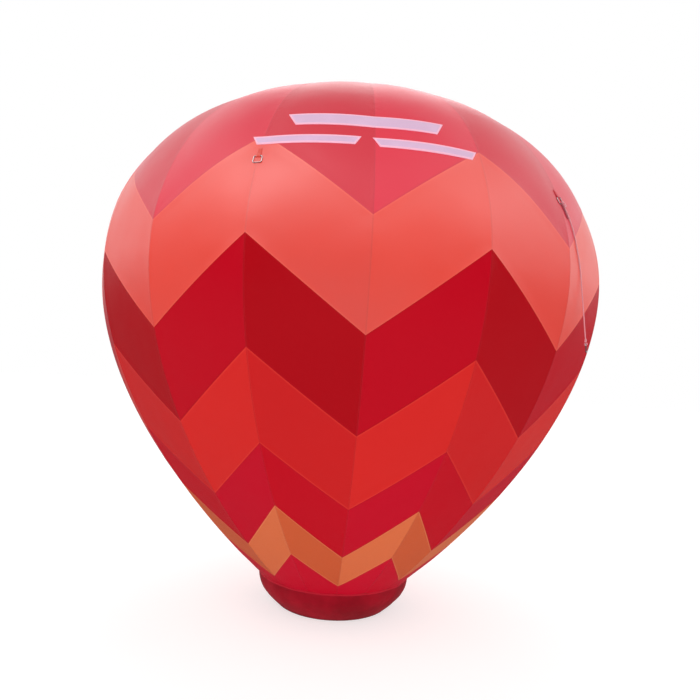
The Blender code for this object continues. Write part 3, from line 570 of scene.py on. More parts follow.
# an even run of points on a smooth line through a few
def smoothLine(points, step):
    points = np.array(points, dtype=float)
    ends = np.concatenate([[2 * points[0] - points[1]], points, [2 * points[-1] - points[-2]]])
    dense = []
    for a, b, c, d in zip(ends, ends[1:], ends[2:], ends[3:]):
        for t in np.linspace(0, 1, 24, endpoint=False):
            dense.append(0.5 * (2 * b + (c - a) * t + (2 * a - 5 * b + 4 * c - d) * t ** 2
                                + (3 * b - a - 3 * c + d) * t ** 3))
    dense = np.array(dense + [points[-1]])
    run = np.append(0.0, np.cumsum(np.linalg.norm(np.diff(dense, axis=0), axis=1)))
    even = np.linspace(0, run[-1], max(2, round(run[-1] / step)) + 1)
    return np.stack([np.interp(even, run, dense[:, i]) for i in range(3)], -1)


# a turned body round an axis: profile of (reach, along) pairs, closed on the axis or as a ring
def lathe(profile, place, axis, material, sides, ring=False):
    axis = Vector(axis).normalized()
    side = axis.orthogonal().normalized()
    axes = np.array([side, axis.cross(side), axis])
    profile = np.array(profile, dtype=float)
    turn = fullTurn(sides)
    reach, along = profile[:, 0][:, None], profile[:, 1][:, None]
    local = np.stack([reach * np.cos(turn), reach * np.sin(turn), along + 0 * turn], -1)
    sheet = np.stack(np.broadcast_arrays(turn[None, :] * reach.max(), along), -1)
    faces = tubeFaces(len(profile), sides, ring, capped=True)
    return meshFrom(local @ axes + np.array(place), faces, material, sheet, sharp=35.0)


# coated nylon: gores painted alternately lighter and darker (painted sheen of the weave), panel shades,
# rip-stop grid, seam allowances and puckers
fabric = {"roughness": 0.35, "sheen": 0.010, "sheenRoughness": 0.35, "sheenTint": (1.0, 0.86, 0.90, 1.0),
          "gridStep": 0.0065, "stitchPitch": 0.007, "stitchRow": 0.0035, "doubled": 0.5, "fold": 0.30}


# 1 on the thicker threads of the rip-stop grid
def ripStop(across, along):
    first, second = (abs((way / fabric["gridStep"]).fract() - 0.5).rise(0.42, 0.5)
                     for way in (across, along))
    return first.most(second)


def makeFabric(name, light, dark, edgeShade, coat):
    def paint(tree):
        place, along = objectPlace(tree), clothPlace(tree).of("Y")
        gore, seamGap, edgeGap = (attribute(tree, name) for name in ("gore", "seamGap", "edgeGap"))
        # painted sheen: every other gore takes the darker colour, the rest the lighter, as the weave's sheen
        # falls differently on them
        sheenDarkGore = (gore * 0.5).fract() * 2.0
        shade = tree.node("ShaderNodeTexWhiteNoise", {"noise_dimensions": "1D"}, {"W": gore + 0.37},
                          out="Value")
        even = 0.95 + shade * 0.07
        soft = noise(tree, place, 1.3, 2.0)
        uneven = tree.node("ShaderNodeCombineColor", {}, {0: even + soft * 0.06, 1: even, 2: even})
        panel = tree.mix(1.0, tree.mix(sheenDarkGore, light, dark), uneven, "MULTIPLY")
        doubled = (1.0 - edgeGap.rise(0.008, 0.013)) * fabric["doubled"]
        fold = (1.0 - seamGap.rise(0.0045, 0.0065)) * fabric["fold"]
        seamed = tree.mix(fold, tree.mix(doubled, panel, edgeShade), shaded(dark, 0.72))
        dash = (along / fabric["stitchPitch"]).fract().rise(0.25, 0.35)
        stitches = (1.0 - abs(seamGap - fabric["stitchRow"]).rise(0.0006, 0.0012)) * dash
        grid = ripStop(seamGap, along)
        waves = noise(tree, place, 2.2, 2.0, 0.4)
        pucker = noise(tree, place, 26.0, 3.0, 0.55) * (1.0 - seamGap.least(edgeGap).rise(0.0, 0.075))
        relief = bump(tree, waves, 0.020, 0.55)
        relief = bump(tree, pucker, 0.005, 0.45, relief)
        relief = bump(tree, grid + stitches * 2.0, 0.0003, 0.30, relief)
        return {"Base Color": tree.mix(stitches * 0.5, seamed, shaded(light, 1.25, 0.03)), "Normal": relief,
                "Roughness": fabric["roughness"] + noise(tree, place, 5.0) * 0.10 - grid * 0.03}

    return makeMaterial(name, {"Sheen Weight": fabric["sheen"], "Sheen Roughness": fabric["sheenRoughness"],
                               "Sheen Tint": fabric["sheenTint"], "Specular IOR Level": coat, "IOR": 1.60},
                        paint)


# bands from the crown down: row above, row below, gore painted lighter, gore painted darker (painted sheen
# on alternate gores), doubled edge, slot, strength of the coat
bands = {
    "crown_red": (None, "shoulder", (222, 26, 58), (210, 18, 48), (216, 28, 56), "crown_red", 0.55),
    "band_coral": ("shoulder", "equator", (234, 56, 36), (231, 50, 30), (242, 80, 54), "coral", 0.95),
    "band_crimson_upper": ("equator", "waist", (185, 0, 26), (170, 0, 16), (174, 0, 20), "crimson", 0.06),
    "band_vermilion": ("waist", "cone", (211, 30, 26), (201, 20, 22), (222, 56, 44), "vermilion", 0.12),
    "band_crimson_lower": ("cone", "neck", (192, 0, 34), (190, 0, 26), (184, 2, 28), "crimson", 0.06),
    "band_orange": ("neck", "throat", (219, 110, 62), (206, 90, 44), (230, 134, 86), "orange", 0.20),
    "throat_crimson": ("throat", None, (199, 2, 40), (198, 2, 38), (190, 4, 40), "crimson", 0.06),
}


# stations of a band's two rows, each at its valley and at its peak
def bandStations(above, below):
    top = [stationAtReach(envelope["crownHole"])] * 2
    bottom = [lastStation] * 2
    if above:
        top = [stationAtHeight(h) for h in chevronRows[above]]
    if below:
        bottom = [stationAtHeight(h) for h in chevronRows[below]]
    return top, bottom


# gives an open sheet its thickness, inwards
def thicken(mesh, depth):
    made = withModifier(mesh, "SOLIDIFY", thickness=depth, offset=-1.0)
    made.set_sharp_from_angle(angle=radians(55.0))
    return made


def lean(row):
    valley, peak = np.interp(row, seamStation, seamReach)
    return float(valley / peak)


# cloth as it was cut: its widest girth by its length, and the area of one of its two faces
def declareCloth(piece, reach, length):
    girth = tau * reach
    area = sum(face.area for face in piece.data.polygons) / 2
    min(area, girth * length)


def makeEnvelope():
    e = envelope
    group, host = makeGoreTree(), pathHost("goreHost")
    same = {"Profile": lineCurve("seamProfile", list(zip(seamReach, seamHeight))), "Gores": e["gores"],
            "Gore Columns": e["goreColumns"], "Gather": e["gather"], "Swell": e["swell"], "Flat": e["flat"],
            "Flat Seam": e["flatSeam"], "Seam Half": e["seamHalf"], "Seam Ridge": e["seamRidge"]}
    for name, (above, below, light, dark, edge, slotName, coat) in bands.items():
        top, bottom = bandStations(above, below)
        deepest = max(b - t for t, b in zip(top, bottom))
        # light and dark are the two gore colours; their difference is painted sheen on alternate gores
        nylon = makeFabric(f"{slotName}Nylon_{name}", linear(*light), linear(*dark), linear(*edge), coat)
        mesh = bakeTree(host, group, {
            **same, "Top Valley": top[0], "Top Peak": top[1], "Bottom Valley": bottom[0],
            "Bottom Peak": bottom[1], "Top Lean": lean(top), "Bottom Lean": lean(bottom),
            "Rows": round(deepest / e["rowStep"]), "Material": nylon})
        skin = addPiece("skin_" + name, thicken(mesh, e["wall"]), standsFor=[name])
        declareCloth(skin, max(hypot(*v.co.xy) for v in skin.data.vertices), max(bottom) - min(top))


makeEnvelope()
print("envelope made")


# webbing: a herringbone weave across and along the strip
def makeWebbing(name, colour, deep):
    def paint(tree):
        flat = clothPlace(tree)
        rib = (abs((flat.of("X") / 0.0042).fract() - 0.5) * 0.9 + flat.of("Y") / 0.0018).fract()
        weave = abs(rib - 0.5) * 2.0
        fuzz = noise(tree, objectPlace(tree), 160.0)
        worn = (1.0 - attribute(tree, "rim").rise(0.0, 0.0025)) * fuzz
        shade = tree.mix(weave * 0.6, colour, deep)
        return {"Base Color": tree.mix(worn * 0.35, shade, shaded(colour, 1.3, 0.05)),
                "Roughness": 0.70 + fuzz * 0.15, "Normal": bump(tree, weave + fuzz * 0.4, 0.0004, 0.6)}

    return makeMaterial(name, {"Sheen Weight": 0.25, "Sheen Roughness": 0.5, "Specular IOR Level": 0.3},
                        paint)


# hook tape: a field of small hooks inside a smooth, brighter border
def makeHookTape(name, field, border):
    def paint(tree):
        place = objectPlace(tree)
        inside = attribute(tree, "rim").rise(0.0105, 0.0125)
        pile = tree.node("ShaderNodeTexVoronoi", {}, {"Vector": place, "Scale": 520.0}, out="Distance")
        soft = noise(tree, place, 7.0, 3.0)
        tuft = tree.mix(pile.rise(0.1, 0.6) * 0.30, field, shaded(field, 0.72))
        patch = tree.mix(soft.rise(0.35, 0.75) * 0.35, tuft, shaded(field, 1.12))
        return {"Base Color": tree.mix(inside, border, patch), "Roughness": 0.78 - inside * 0.12,
                "Normal": bump(tree, pile * inside + noise(tree, place, 300.0) * 0.4, 0.0010, 0.55)}

    return makeMaterial(name, {"Sheen Weight": 0.30, "Sheen Roughness": 0.4, "Specular IOR Level": 0.3},
                        paint)


# metals, plastics and rubber: colour, roughness, metallic, grain across the metre, relief in metres, spread
# of shade
finishes = {
    "zincSteel": ((200, 202, 208), 0.26, 1.0, 420.0, 0.00003, 0.16),
    "brightWire": ((206, 203, 206), 0.22, 1.0, 700.0, 0.00001, 0.08),
    "mouldedCase": ((40, 42, 47), 0.50, 0.0, 1500.0, 0.00008, 0.22),
    "greyEnamel": ((112, 116, 122), 0.38, 0.3, 700.0, 0.00005, 0.14),
    "paleMoulding": ((206, 206, 200), 0.42, 0.0, 900.0, 0.00003, 0.08),
    "blackRubber": ((24, 24, 26), 0.78, 0.0, 1100.0, 0.00010, 0.30),
    "contactBrass": ((214, 176, 104), 0.30, 1.0, 800.0, 0.00002, 0.10),
    "blackMoulding": ((26, 26, 28), 0.34, 0.0, 900.0, 0.00003, 0.15),
}


def makeFinish(name, colour, rough, metallic, grain, relief, spread):
    def paint(tree):
        place = objectPlace(tree)
        fine = noise(tree, place, grain, 2.0)
        broad = noise(tree, place, 14.0, 4.0, 0.6)
        return {"Base Color": tree.mix(broad, shaded(colour, 1 - spread), shaded(colour, 1 + spread)),
                "Roughness": rough + (broad - 0.5) * 0.22 + fine * 0.04,
                "Normal": bump(tree, fine, relief, 0.7)}

    return makeMaterial(name, {"Metallic": metallic, "IOR": 1.46}, paint)


for name, (colour, *rest) in finishes.items():
    makeFinish(name, linear(*colour), *rest)
makeWebbing("redWebbing", linear(176, 26, 58), linear(120, 10, 34))
makeWebbing("blackWebbing", linear(40, 40, 44), linear(16, 16, 18))
makeWebbing("coralTab", linear(240, 92, 78), linear(206, 66, 56))
makeWebbing("redTab", linear(226, 44, 62), linear(184, 28, 44))
makeHookTape("hookTape", linear(228, 188, 219), linear(255, 192, 216))


# patch over the tips of the gores, with its turned-in rim and two stitched rows
crownPatch = {"radius": 0.17, "thickness": 0.004, "edge": 0.003, "sides": 108, "base": 0.0003}


def makeCrownPatch():
    radius, thick, sides = crownPatch["radius"], crownPatch["thickness"], crownPatch["sides"]
    reach = np.array([radius, radius - 0.0006, radius - crownPatch["edge"], 0.158, 0.146, 0.11, 0.06, 0.02])
    rise = np.array([0.2, 0.75, 1.0, 0.82, 1.0, 1.0, 1.0, 1.0]) * thick
    station = np.array([stationAtReach(r) for r in reach])
    turn = fullTurn(sides)
    layers = []
    for lift in (rise, np.full(len(reach), crownPatch["base"])):
        rings = onSkin(turn[None, :], station[:, None], lift[:, None]).reshape(-1, 3)
        layers.append(np.concatenate([rings, [[0, 0, envelope["crownHeight"] + lift[-1]]]]))
    pole = len(reach) * sides
    inner = pole - sides
    fan = [(inner + i, inner + (i + 1) % sides, pole) for i in range(sides)]
    upper = tubeFaces(len(reach), sides) + fan
    shift = pole + 1
    faces = upper + [tuple(i + shift for i in face[::-1]) for face in upper]
    faces += [(i, (i + 1) % sides, (i + 1) % sides + shift, i + shift) for i in range(sides)]
    points = np.concatenate(layers)
    rim = np.append(np.repeat(radius - reach, sides), radius)
    patch = meshFrom(points, faces, "patchCloth", points[:, :2], np.tile(rim, 2))
    addPiece("crown_patch", patch, standsFor=["crown_cap"])


# plain cloth: no gores, only grain, rip-stop lines and broad shades
def makeCloth(name, colour, deep, rough=0.5):
    def paint(tree):
        place, flat = objectPlace(tree), clothPlace(tree)
        lines = ripStop(flat.of("X"), flat.of("Y"))
        broad = noise(tree, place, 4.0, 3.0)
        shade = tree.mix(broad.rise(0.3, 0.7), colour, deep)
        grain = bump(tree, noise(tree, place, 30.0, 3.0), 0.003, 0.35)
        return {"Base Color": tree.mix(lines * 0.18, shade, shaded(deep, 0.7)),
                "Roughness": rough + broad * 0.08, "Normal": bump(tree, lines, 0.0003, 0.3, grain)}

    return makeMaterial(name, {"Sheen Weight": 0.08, "Sheen Roughness": 0.4, "Specular IOR Level": 0.2},
                        paint)


makeCloth("patchCloth", linear(228, 46, 66), linear(214, 38, 56))
makeCloth("maroonCloth", linear(158, 14, 34), linear(140, 10, 28), 0.55)
makeCloth("sleeveCloth", linear(204, 6, 34), linear(180, 2, 26))
makeCrownPatch()
print("crown patch made")


# small threads along paths, a bead for each stitch
def makeStitchTree():
    tree, given = newTree("stitchRow", {"Pitch": "Float", "Length": "Float", "Thread": "Float",
                                        "Material": "Material"})
    line = tree.node("GeometryNodeMeshToCurve", {}, {"Mesh": given.of("Geometry")})
    even = tree.node("GeometryNodeResampleCurve", {"mode": "LENGTH"},
                     {"Curve": line, "Length": given.of("Pitch")})
    bead = tree.node("GeometryNodeMeshUVSphere", {}, {"Segments": 6, "Rings": 4, "Radius": 0.5})
    size = tree.node("ShaderNodeCombineXYZ", {}, {"X": given.of("Length"), "Y": given.of("Thread"),
                                                  "Z": given.of("Thread")})
    thread = tree.node("GeometryNodeTransform", {}, {"Geometry": bead, "Scale": size})
    turned = tree.node("FunctionNodeAlignRotationToVector", {"axis": "X"}, {
        "Vector": tree.node("GeometryNodeInputTangent")})
    laid = tree.node("GeometryNodeInstanceOnPoints", {},
                     {"Points": even, "Instance": thread, "Rotation": turned})
    real = tree.node("GeometryNodeRealizeInstances", {}, {"Geometry": laid})
    smooth = tree.node("GeometryNodeSetShadeSmooth", {}, {"Geometry": real})
    return closeTree(tree, smooth, given.of("Material"))


# sewing thread, the same on every stitched piece apart from its colour
def makeThread(name, colour):
    def paint(tree):
        twist = noise(tree, objectPlace(tree), 900.0, 2.0)
        return {"Base Color": tree.mix(twist * 0.5, colour, shaded(colour, 0.6)),
                "Roughness": 0.55 + twist * 0.2}

    return makeMaterial(name, {"Sheen Weight": 0.2}, paint)


stitchTree = makeStitchTree()
makeThread("paleThread", linear(240, 206, 222))
makeThread("redThread", linear(232, 84, 84))
makeThread("darkThread", linear(120, 14, 34))


def addStitches(name, paths, material, pitch=0.0085, length=0.0062, thread=0.0014):
    mesh = bakeTree(pathHost(name + "_rows", paths), stitchTree, {
        "Pitch": pitch, "Length": length, "Thread": thread, "Material": materials[material]})
    addPiece(name, mesh)


addStitches("crown_patch_stitches", [
    onSkin(np.linspace(0, tau, 145), stationAtReach(r), crownPatch["thickness"] + 0.0002)
    for r in (0.1645, 0.1570)], "redThread")


# three hook tapes for a banner: name, low and high height, ends at the low and the high edge in degrees
tapes = {"middle": -1.5, "thickness": 0.0038, "edge": 0.0022, "base": -0.0004, "step": 0.012,
         "inset": 0.0040, "least": 0.0006, "rows": {
    "banner_tape_top": (3.280, 3.366, (-13.1, 13.2), (-15.2, 15.0)),
    "banner_tape_left": (3.149, 3.205, (-19.5, -1.9), (-20.7, -0.9)),
    "banner_tape_right": (3.144, 3.204, (2.4, 19.5), (1.1, 20.8))}}


# shares of a length from edge to edge, close together at the tape's rounded rims
def tapeSteps(length, count):
    edge = tapes["edge"]
    inner = np.linspace(edge * 2, length - edge * 2, count)
    return np.array([0, edge * 0.3, edge, *inner, length - edge, length - edge * 0.3, length]) / length


def tapeAzimuth(lowEnds, highEnds, down, across):
    start, stop = (a + (b - a) * (1 - down) for a, b in zip(lowEnds, highEnds))
    return np.radians(tapes["middle"] + start + (stop - start) * across)


def makeTapes():
    paths = []
    edge, inset, least, thick = (tapes[k] for k in ("edge", "inset", "least", "thickness"))
    for name, (low, high, *ends) in tapes["rows"].items():
        lowStation, highStation = stationAtHeight(low), stationAtHeight(high)
        depth = lowStation - highStation
        span = radians(ends[1][1] - ends[1][0]) * float(np.interp(lowStation, seamStation, seamReach))
        down = tapeSteps(depth, 7)
        across = tapeSteps(span, round(span / tapes["step"]))
        azimuth = tapeAzimuth(*ends, down[:, None], across[None, :])
        station = highStation + depth * down[:, None] + 0 * azimuth
        gap = np.minimum(np.minimum(down, 1 - down)[:, None] * depth,
                         np.minimum(across, 1 - across)[None, :] * span)
        curve = np.sqrt(1 - (1 - np.clip(gap / edge, 0, 1)) ** 2)
        slab = skinSlab(azimuth, station, least + (thick - least) * curve, tapes["base"], "hookTape", gap)
        addPiece("hook_" + name, slab, standsFor=[name])
        for share in (inset / depth, 1 - inset / depth):
            row = int(np.argmin(np.abs(down - share)))
            line = azimuth[row][gap[row] > inset * 0.6]
            paths.append(onSkin(line, highStation + depth * share, thick + 0.0001))
        rows = np.linspace(inset / depth, 1 - inset / depth, 8)
        for share in (inset / span, 1 - inset / span):
            paths.append(onSkin(tapeAzimuth(*ends, rows, share), highStation + depth * rows, thick + 0.0001))
    addStitches("banner_tape_stitches", paths, "paleThread")


makeTapes()
print("banner tapes made")


# tether points: seam of each, which hold a line, and the sizes of ring, tab, strap, line and hook
tethers = {"height": 3.066, "seams": {1: -7, 2: -4, 3: -1, 4: 2, 5: 5, 6: 8}, "lined": (1, 4), "lean": 22.0,
           "ringWidth": 0.052, "ringDepth": 0.044, "wire": 0.0028, "corner": 0.009,
           "tabWidth": 0.025, "tabLength": 0.058, "strapWidth": 0.022, "strapLength": 0.103, "web": 0.0014,
           "loopEnd": 0.026, "lineRadius": 0.0044, "lineLift": 0.0006, "beside": 0.0185, "besideEnd": 0.22,
           "leaves": 2.620, "lineEnd": 2.165, "slant": (0.15, 0.06), "lay": 0.034,
           "hookLength": 0.060, "hookWidth": 0.028, "hookWire": 0.0030, "hookDrop": 0.0123}
tetherStation = stationAtHeight(tethers["height"])
tetherReach = float(np.interp(tetherStation, seamStation, seamReach))


def tetherLean(number):
    return radians(tethers["lean"]) if number in tethers["lined"] else 0.0


# a point on the skin: so far down from a tether point in its own direction, and so far to its side
def tetherPoint(number, along, side=0.0, lift=0.0):
    tilt = tetherLean(number)
    turned = along * sin(tilt) + side * cos(tilt)
    return onSkin(seamAzimuth(tethers["seams"][number]) + turned / tetherReach,
                  tetherStation + along * cos(tilt) - side * sin(tilt), lift)


# where a ring hangs: its upper bar's middle, and the directions across, up the skin and out
def ringPlace(number):
    azimuth = seamAzimuth(tethers["seams"][number])
    out = skinNormal(azimuth, tetherStation)
    across = Vector((cos(azimuth), sin(azimuth), 0.0))
    up = out.cross(across)
    tilt = tetherLean(number)
    across, up = across * cos(tilt) + up * sin(tilt), up * cos(tilt) - across * sin(tilt)
    low, high = (Vector(corner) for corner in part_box(f"tether_ring_{number}"))
    return (low + high) / 2 + up * (tethers["ringDepth"] / 2), across, up, out


# webbing folded round a bar and sewn to itself, from begin on over its length: up the skin (away 1) or down
# it (away -1)
def foldedWeb(number, bar, begin, length, away, width, material, ground=0.0):
    _, across, up, out = ringPlace(number)
    t = tethers["web"]
    reach = tethers["wire"] + 0.0004 + t / 2
    far = np.linspace(begin + length, begin + tethers["loopEnd"], 7)
    outer = [tetherPoint(number, -away * s, 0.0, ground + 1.5 * t + 0.0006) for s in far]
    inner = [tetherPoint(number, -away * s, 0.0, ground + 0.5 * t + 0.0003) for s in far[::-1] - 0.003]
    loop = [bar + (up * away * cos(a) + out * sin(a)) * reach
            for a in np.radians([62, 90, 125, 160, 195, 230, 270, 298])]
    path = smoothLine([tuple(p) for p in (*outer, *loop, *inner)], 0.0016)
    return sweep(path, tuple(across * away), webSection(width, t), material)


# a sewn box with its diagonals
def sewnBox(number, away, first, last, half, lift):
    corners = [(-half, first), (half, first), (half, last), (-half, last), (-half, first), (half, last),
               (half, first), (-half, last)]
    return [tetherPoint(number, -away * (s0 + (s1 - s0) * share), x0 + (x1 - x0) * share, lift)
            for (x0, s0), (x1, s1) in zip(corners, corners[1:]) for share in np.linspace(0, 1, 6)[:-1]]


def arc(centre, radius, start, stop, count):
    return [(centre[0] + radius * cos(radians(a)), centre[1] + radius * sin(radians(a)))
            for a in np.linspace(start, stop, count)]


def roundedBox(width, height, corner, steps=5, centre=(0.0, 0.0)):
    x, y = width / 2 - corner, height / 2 - corner
    return [point for (cx, cy), start in (((x, y), 0), ((-x, y), 90), ((-x, -y), 180), ((x, -y), 270))
            for point in arc((centre[0] + cx, centre[1] + cy), corner, start, start + 90, steps)]


# three strands laid round a path
def makeRopeTree():
    tree, given = newTree("laidLine", {"Strands": "Int", "Pitch": "Float", "Lay": "Float", "Strand": "Float",
                                       "Step": "Float", "Material": "Material"})
    line = tree.node("GeometryNodeMeshToCurve", {}, {"Mesh": given.of("Geometry")})
    even = tree.node("GeometryNodeResampleCurve", {"mode": "LENGTH"},
                     {"Curve": line, "Length": given.of("Step")})
    run = tree.node("GeometryNodeSplineParameter", out="Length")
    kept = tree.node("GeometryNodeStoreNamedAttribute", {"domain": "POINT", "data_type": "FLOAT"},
                     {"Geometry": even, "Name": "run", "Value": run})
    copies = tree.node("GeometryNodeDuplicateElements", {"domain": "SPLINE"},
                       {"Geometry": kept, "Amount": given.of("Strands")})
    angle = (run / given.of("Pitch") + copies.of("Duplicate Index") / given.of("Strands")) * tau
    normal = tree.node("GeometryNodeInputNormal")
    side = tree.node("ShaderNodeVectorMath", {"operation": "CROSS_PRODUCT"}, {
        0: normal, 1: tree.node("GeometryNodeInputTangent")})
    parts = [tree.node("ShaderNodeVectorMath", {"operation": "SCALE"},
                       {0: way, "Scale": turn * given.of("Lay")})
             for way, turn in ((normal, angle.cos()), (side, angle.sin()))]
    offset = tree.node("ShaderNodeVectorMath", {"operation": "ADD"}, {0: parts[0], 1: parts[1]})
    moved = tree.node("GeometryNodeSetPosition", {}, {"Geometry": copies, "Offset": offset})
    section = tree.node("GeometryNodeCurvePrimitiveCircle", {},
                        {"Resolution": 8, "Radius": given.of("Strand")})
    body = tree.node("GeometryNodeCurveToMesh", {},
                     {"Curve": moved, "Profile Curve": section, "Fill Caps": True})
    smooth = tree.node("GeometryNodeSetShadeSmooth", {}, {"Geometry": body})
    return closeTree(tree, smooth, given.of("Material"))


# laid rope: fine yarns round each strand, paler and dustier in places
def makeRopeCloth(name, colour, deep):
    def paint(tree):
        yarn = abs((attribute(tree, "run") / 0.0022).fract() - 0.5) * 2.0
        fuzz = noise(tree, objectPlace(tree), 420.0, 3.0)
        return {"Base Color": tree.mix(yarn * 0.35 + fuzz * 0.3, colour, deep),
                "Roughness": 0.72 + fuzz * 0.15, "Normal": bump(tree, yarn + fuzz, 0.0003, 0.5)}

    return makeMaterial(name, {"Sheen Weight": 0.3, "Sheen Roughness": 0.5, "Specular IOR Level": 0.3},
                        paint)


ropeTree = makeRopeTree()
makeRopeCloth("paleRope", linear(240, 172, 180), linear(214, 118, 132))


# the line: tied to the ring, beside the strap, over the shoulder and then straight and taut to its hook
def linePath(number):
    lift = tethers["lineRadius"] + tethers["lineLift"]
    begin = tethers["ringDepth"] + 0.016
    strapEnd = tethers["ringDepth"] + tethers["strapLength"]
    last = (stationAtHeight(tethers["leaves"]) - tetherStation) / cos(radians(tethers["lean"]))
    path = []
    for along in np.concatenate([np.linspace(begin, strapEnd, 5), np.linspace(strapEnd + 0.02, last, 22)]):
        share = min(max((along - strapEnd) / tethers["besideEnd"], 0.0), 1.0)
        side = tethers["beside"] * (1 - share ** 2 * (3 - 2 * share))
        path.append(tetherPoint(number, along, side, lift))
    leave = path[-1]
    azimuth = atan2(leave[0], -leave[1])
    sideways, outwards = tethers["slant"]
    drift = np.array([cos(azimuth), sin(azimuth), 0.0]) * sideways
    drift += np.array([sin(azimuth), -cos(azimuth), 0.0]) * outwards - np.array([0, 0, 1.0])
    for drop in (0.04, 0.2, leave[2] - tethers["lineEnd"] - 0.012):
        path.append(leave + drift * drop)
    return smoothLine(path, 0.003)


# a knot: the line's end passed round itself
def knotPath(centre, across, up, out, size):
    turn = np.linspace(0, tau, 61)
    x = (np.sin(turn) + 2 * np.sin(2 * turn)) / 3
    y = (np.cos(turn) - 2 * np.cos(2 * turn)) / 3
    z = -np.sin(3 * turn) * 0.42
    a, b, c = (np.array(v) for v in (across, up, out))
    return np.array(centre) + size * (x[:, None] * a + y[:, None] * b + z[:, None] * c)


# snap hook on the line's end: a bent bar, its gate and pin, and the eye of rope in it
def addHook(number, path):
    end = path[-1]
    up = path[-2] - end
    up /= np.linalg.norm(up)
    away = np.array([end[0], end[1], 0.0])
    out = away - up * (away @ up)
    out /= np.linalg.norm(out)
    across = np.cross(up, out)
    half, wire = tethers["hookWidth"] / 2, tethers["hookWire"]
    run = tethers["hookLength"] - tethers["hookWidth"]
    centre = end - up * (tethers["hookDrop"] + half)
    middle = half - wire
    body = [centre - up * drop + across * middle * cos(a) + up * middle * sin(a)
            for drop, first, last in ((0.0, 12, 180), (run, 180, 342))
            for a in np.radians(np.linspace(first, last, 15))]
    made = sweep(smoothLine(body, 0.0015), tuple(out), roundSection(wire), "zincSteel")
    addPiece(f"snap_hook_{number}", made, standsFor=[f"tether_hook_{number}"])
    top, low = body[0], body[-1]
    gate = [top + (low - top) * share + across * 0.0004 for share in np.linspace(-0.02, 1.02, 12)]
    made = sweep(gate, tuple(out), roundSection(wire * 0.8), "brightWire")
    addPiece(f"hook_gate_{number}", made)
    profile = [(0.0003, -0.0042), (0.0012, -0.0040), (0.0014, -0.0036), (0.0014, 0.0036), (0.0012, 0.0040),
               (0.0003, 0.0042)]
    addPiece(f"hook_pin_{number}", lathe(profile, top, tuple(out), "brightWire", 12))
    bar = centre + up * middle
    return [bar + out * 0.0072 * sin(a) + up * 0.0072 * cos(a) for a in np.linspace(0.0, tau, 25)]


def makeTethers():
    low, beside, radius = tethers["ringDepth"], tethers["beside"], tethers["lineRadius"]
    ringPath = roundedBox(tethers["ringWidth"], low, tethers["corner"], 6, (0.0, -low / 2))
    tabRows, strapRows = {"coral": [], "crown_red": []}, []
    for number, seam in tethers["seams"].items():
        bar, across, up, out = ringPlace(number)
        lined = number in tethers["lined"]
        slot, cloth = ("coral", "coralTab") if seam % 2 else ("crown_red", "redTab")
        ground = 0.0010 if lined else 0.0
        tab = foldedWeb(number, bar, 0.0, tethers["tabLength"], 1, tethers["tabWidth"], cloth, ground)
        addPiece(f"tether_loop_{number}", tab, standsFor=[f"tether_tab_{number}"])
        tabRows[slot].append(sewnBox(number, 1, 0.030, 0.053, 0.0095, ground + 2 * tethers["web"] + 0.0008))
        ring = sweep([tuple(bar + across * x + up * y) for x, y in ringPath], tuple(out),
                     roundSection(tethers["wire"], 14), "brightWire", cyclic=True)
        addPiece(f"round_ring_{number}", ring, "balloon" if lined else f"ring_{number}",
                 [f"tether_ring_{number}"])
        if not lined:
            continue
        foot = bar - up * low
        strap = foldedWeb(number, foot, low, tethers["strapLength"], -1, tethers["strapWidth"], "redWebbing",
                          0.0012)
        addPiece(f"line_strap_{number}", strap, standsFor=[f"tether_strap_{number}"])
        strapRows.append(sewnBox(number, -1, low + 0.030, low + 0.054, 0.0080, 2 * tethers["web"] + 0.0022))
        path = linePath(number)
        back = path[-2] - path[-1]
        eye = addHook(number, path)
        tie = foot + across * beside * 0.72
        turns = [tie + (up * cos(a) + out * sin(a)) * 0.0088 + across * (a * 0.0009 - 0.003)
                 for a in np.linspace(0.2, 2 * tau - 0.2, 41)]
        knot = knotPath(tetherPoint(number, low + 0.0165, beside * 0.95, 0.0125), across, up, out, 0.0095)
        ferrule = knotPath(path[-1] + back * 3.0, across, back / 0.003, out, 0.0085)
        line = bakeTree(pathHost(f"line_path_{number}", [path, turns, knot, eye, ferrule]), ropeTree, {
            "Strands": 3, "Pitch": tethers["lay"], "Lay": radius * 0.5, "Strand": radius * 0.44,
            "Step": 0.0028, "Material": materials["paleRope"]})
        addPiece(f"guy_line_{number}", line, standsFor=[f"tether_rope_{number}"])
    for name, paths, thread, slot in (
            ("tab_stitches_low", tabRows["coral"], "redThread", "coral"),
            ("tab_stitches_high", tabRows["crown_red"], "redThread", "crown_red"),
            ("line_strap_stitches", strapRows, "darkThread", "red_webbing")):
        addStitches(name, paths, thread, 0.0042, 0.0032, 0.0008)


makeTethers()
print("tether points made")


# one mesh of several, each with its material
def joined(parts):
    work = bmesh.new()
    slots = []
    for part in parts:
        material = part.materials[0]
        if material not in slots:
            slots.append(material)
        before = len(work.faces)
        work.from_mesh(part)
        work.faces.ensure_lookup_table()
        for face in work.faces[before:]:
            face.material_index = slots.index(material)
    mesh = bpy.data.meshes.new("piece")
    work.to_mesh(mesh)
    work.free()
    for material in slots:
        mesh.materials.append(material)
    return mesh


# a box with rounded edges
def block(size, centre, material, edge):
    work = bmesh.new()
    bmesh.ops.create_cube(work, size=1.0)
    bmesh.ops.scale(work, vec=size, verts=work.verts)
    bmesh.ops.bevel(work, geom=work.edges[:], offset=edge, segments=3, profile=0.5, affect="EDGES")
    mesh = bpy.data.meshes.new("piece")
    work.to_mesh(mesh)
    work.free()
    finished(mesh, material, 50.0)
    mesh.transform(Matrix.Translation(centre))
    return mesh


def asPlace(centre, x, y, z):
    turned = Matrix((Vector(x), Vector(y), Vector(z))).transposed().to_4x4()
    return Matrix.Translation(centre) @ turned


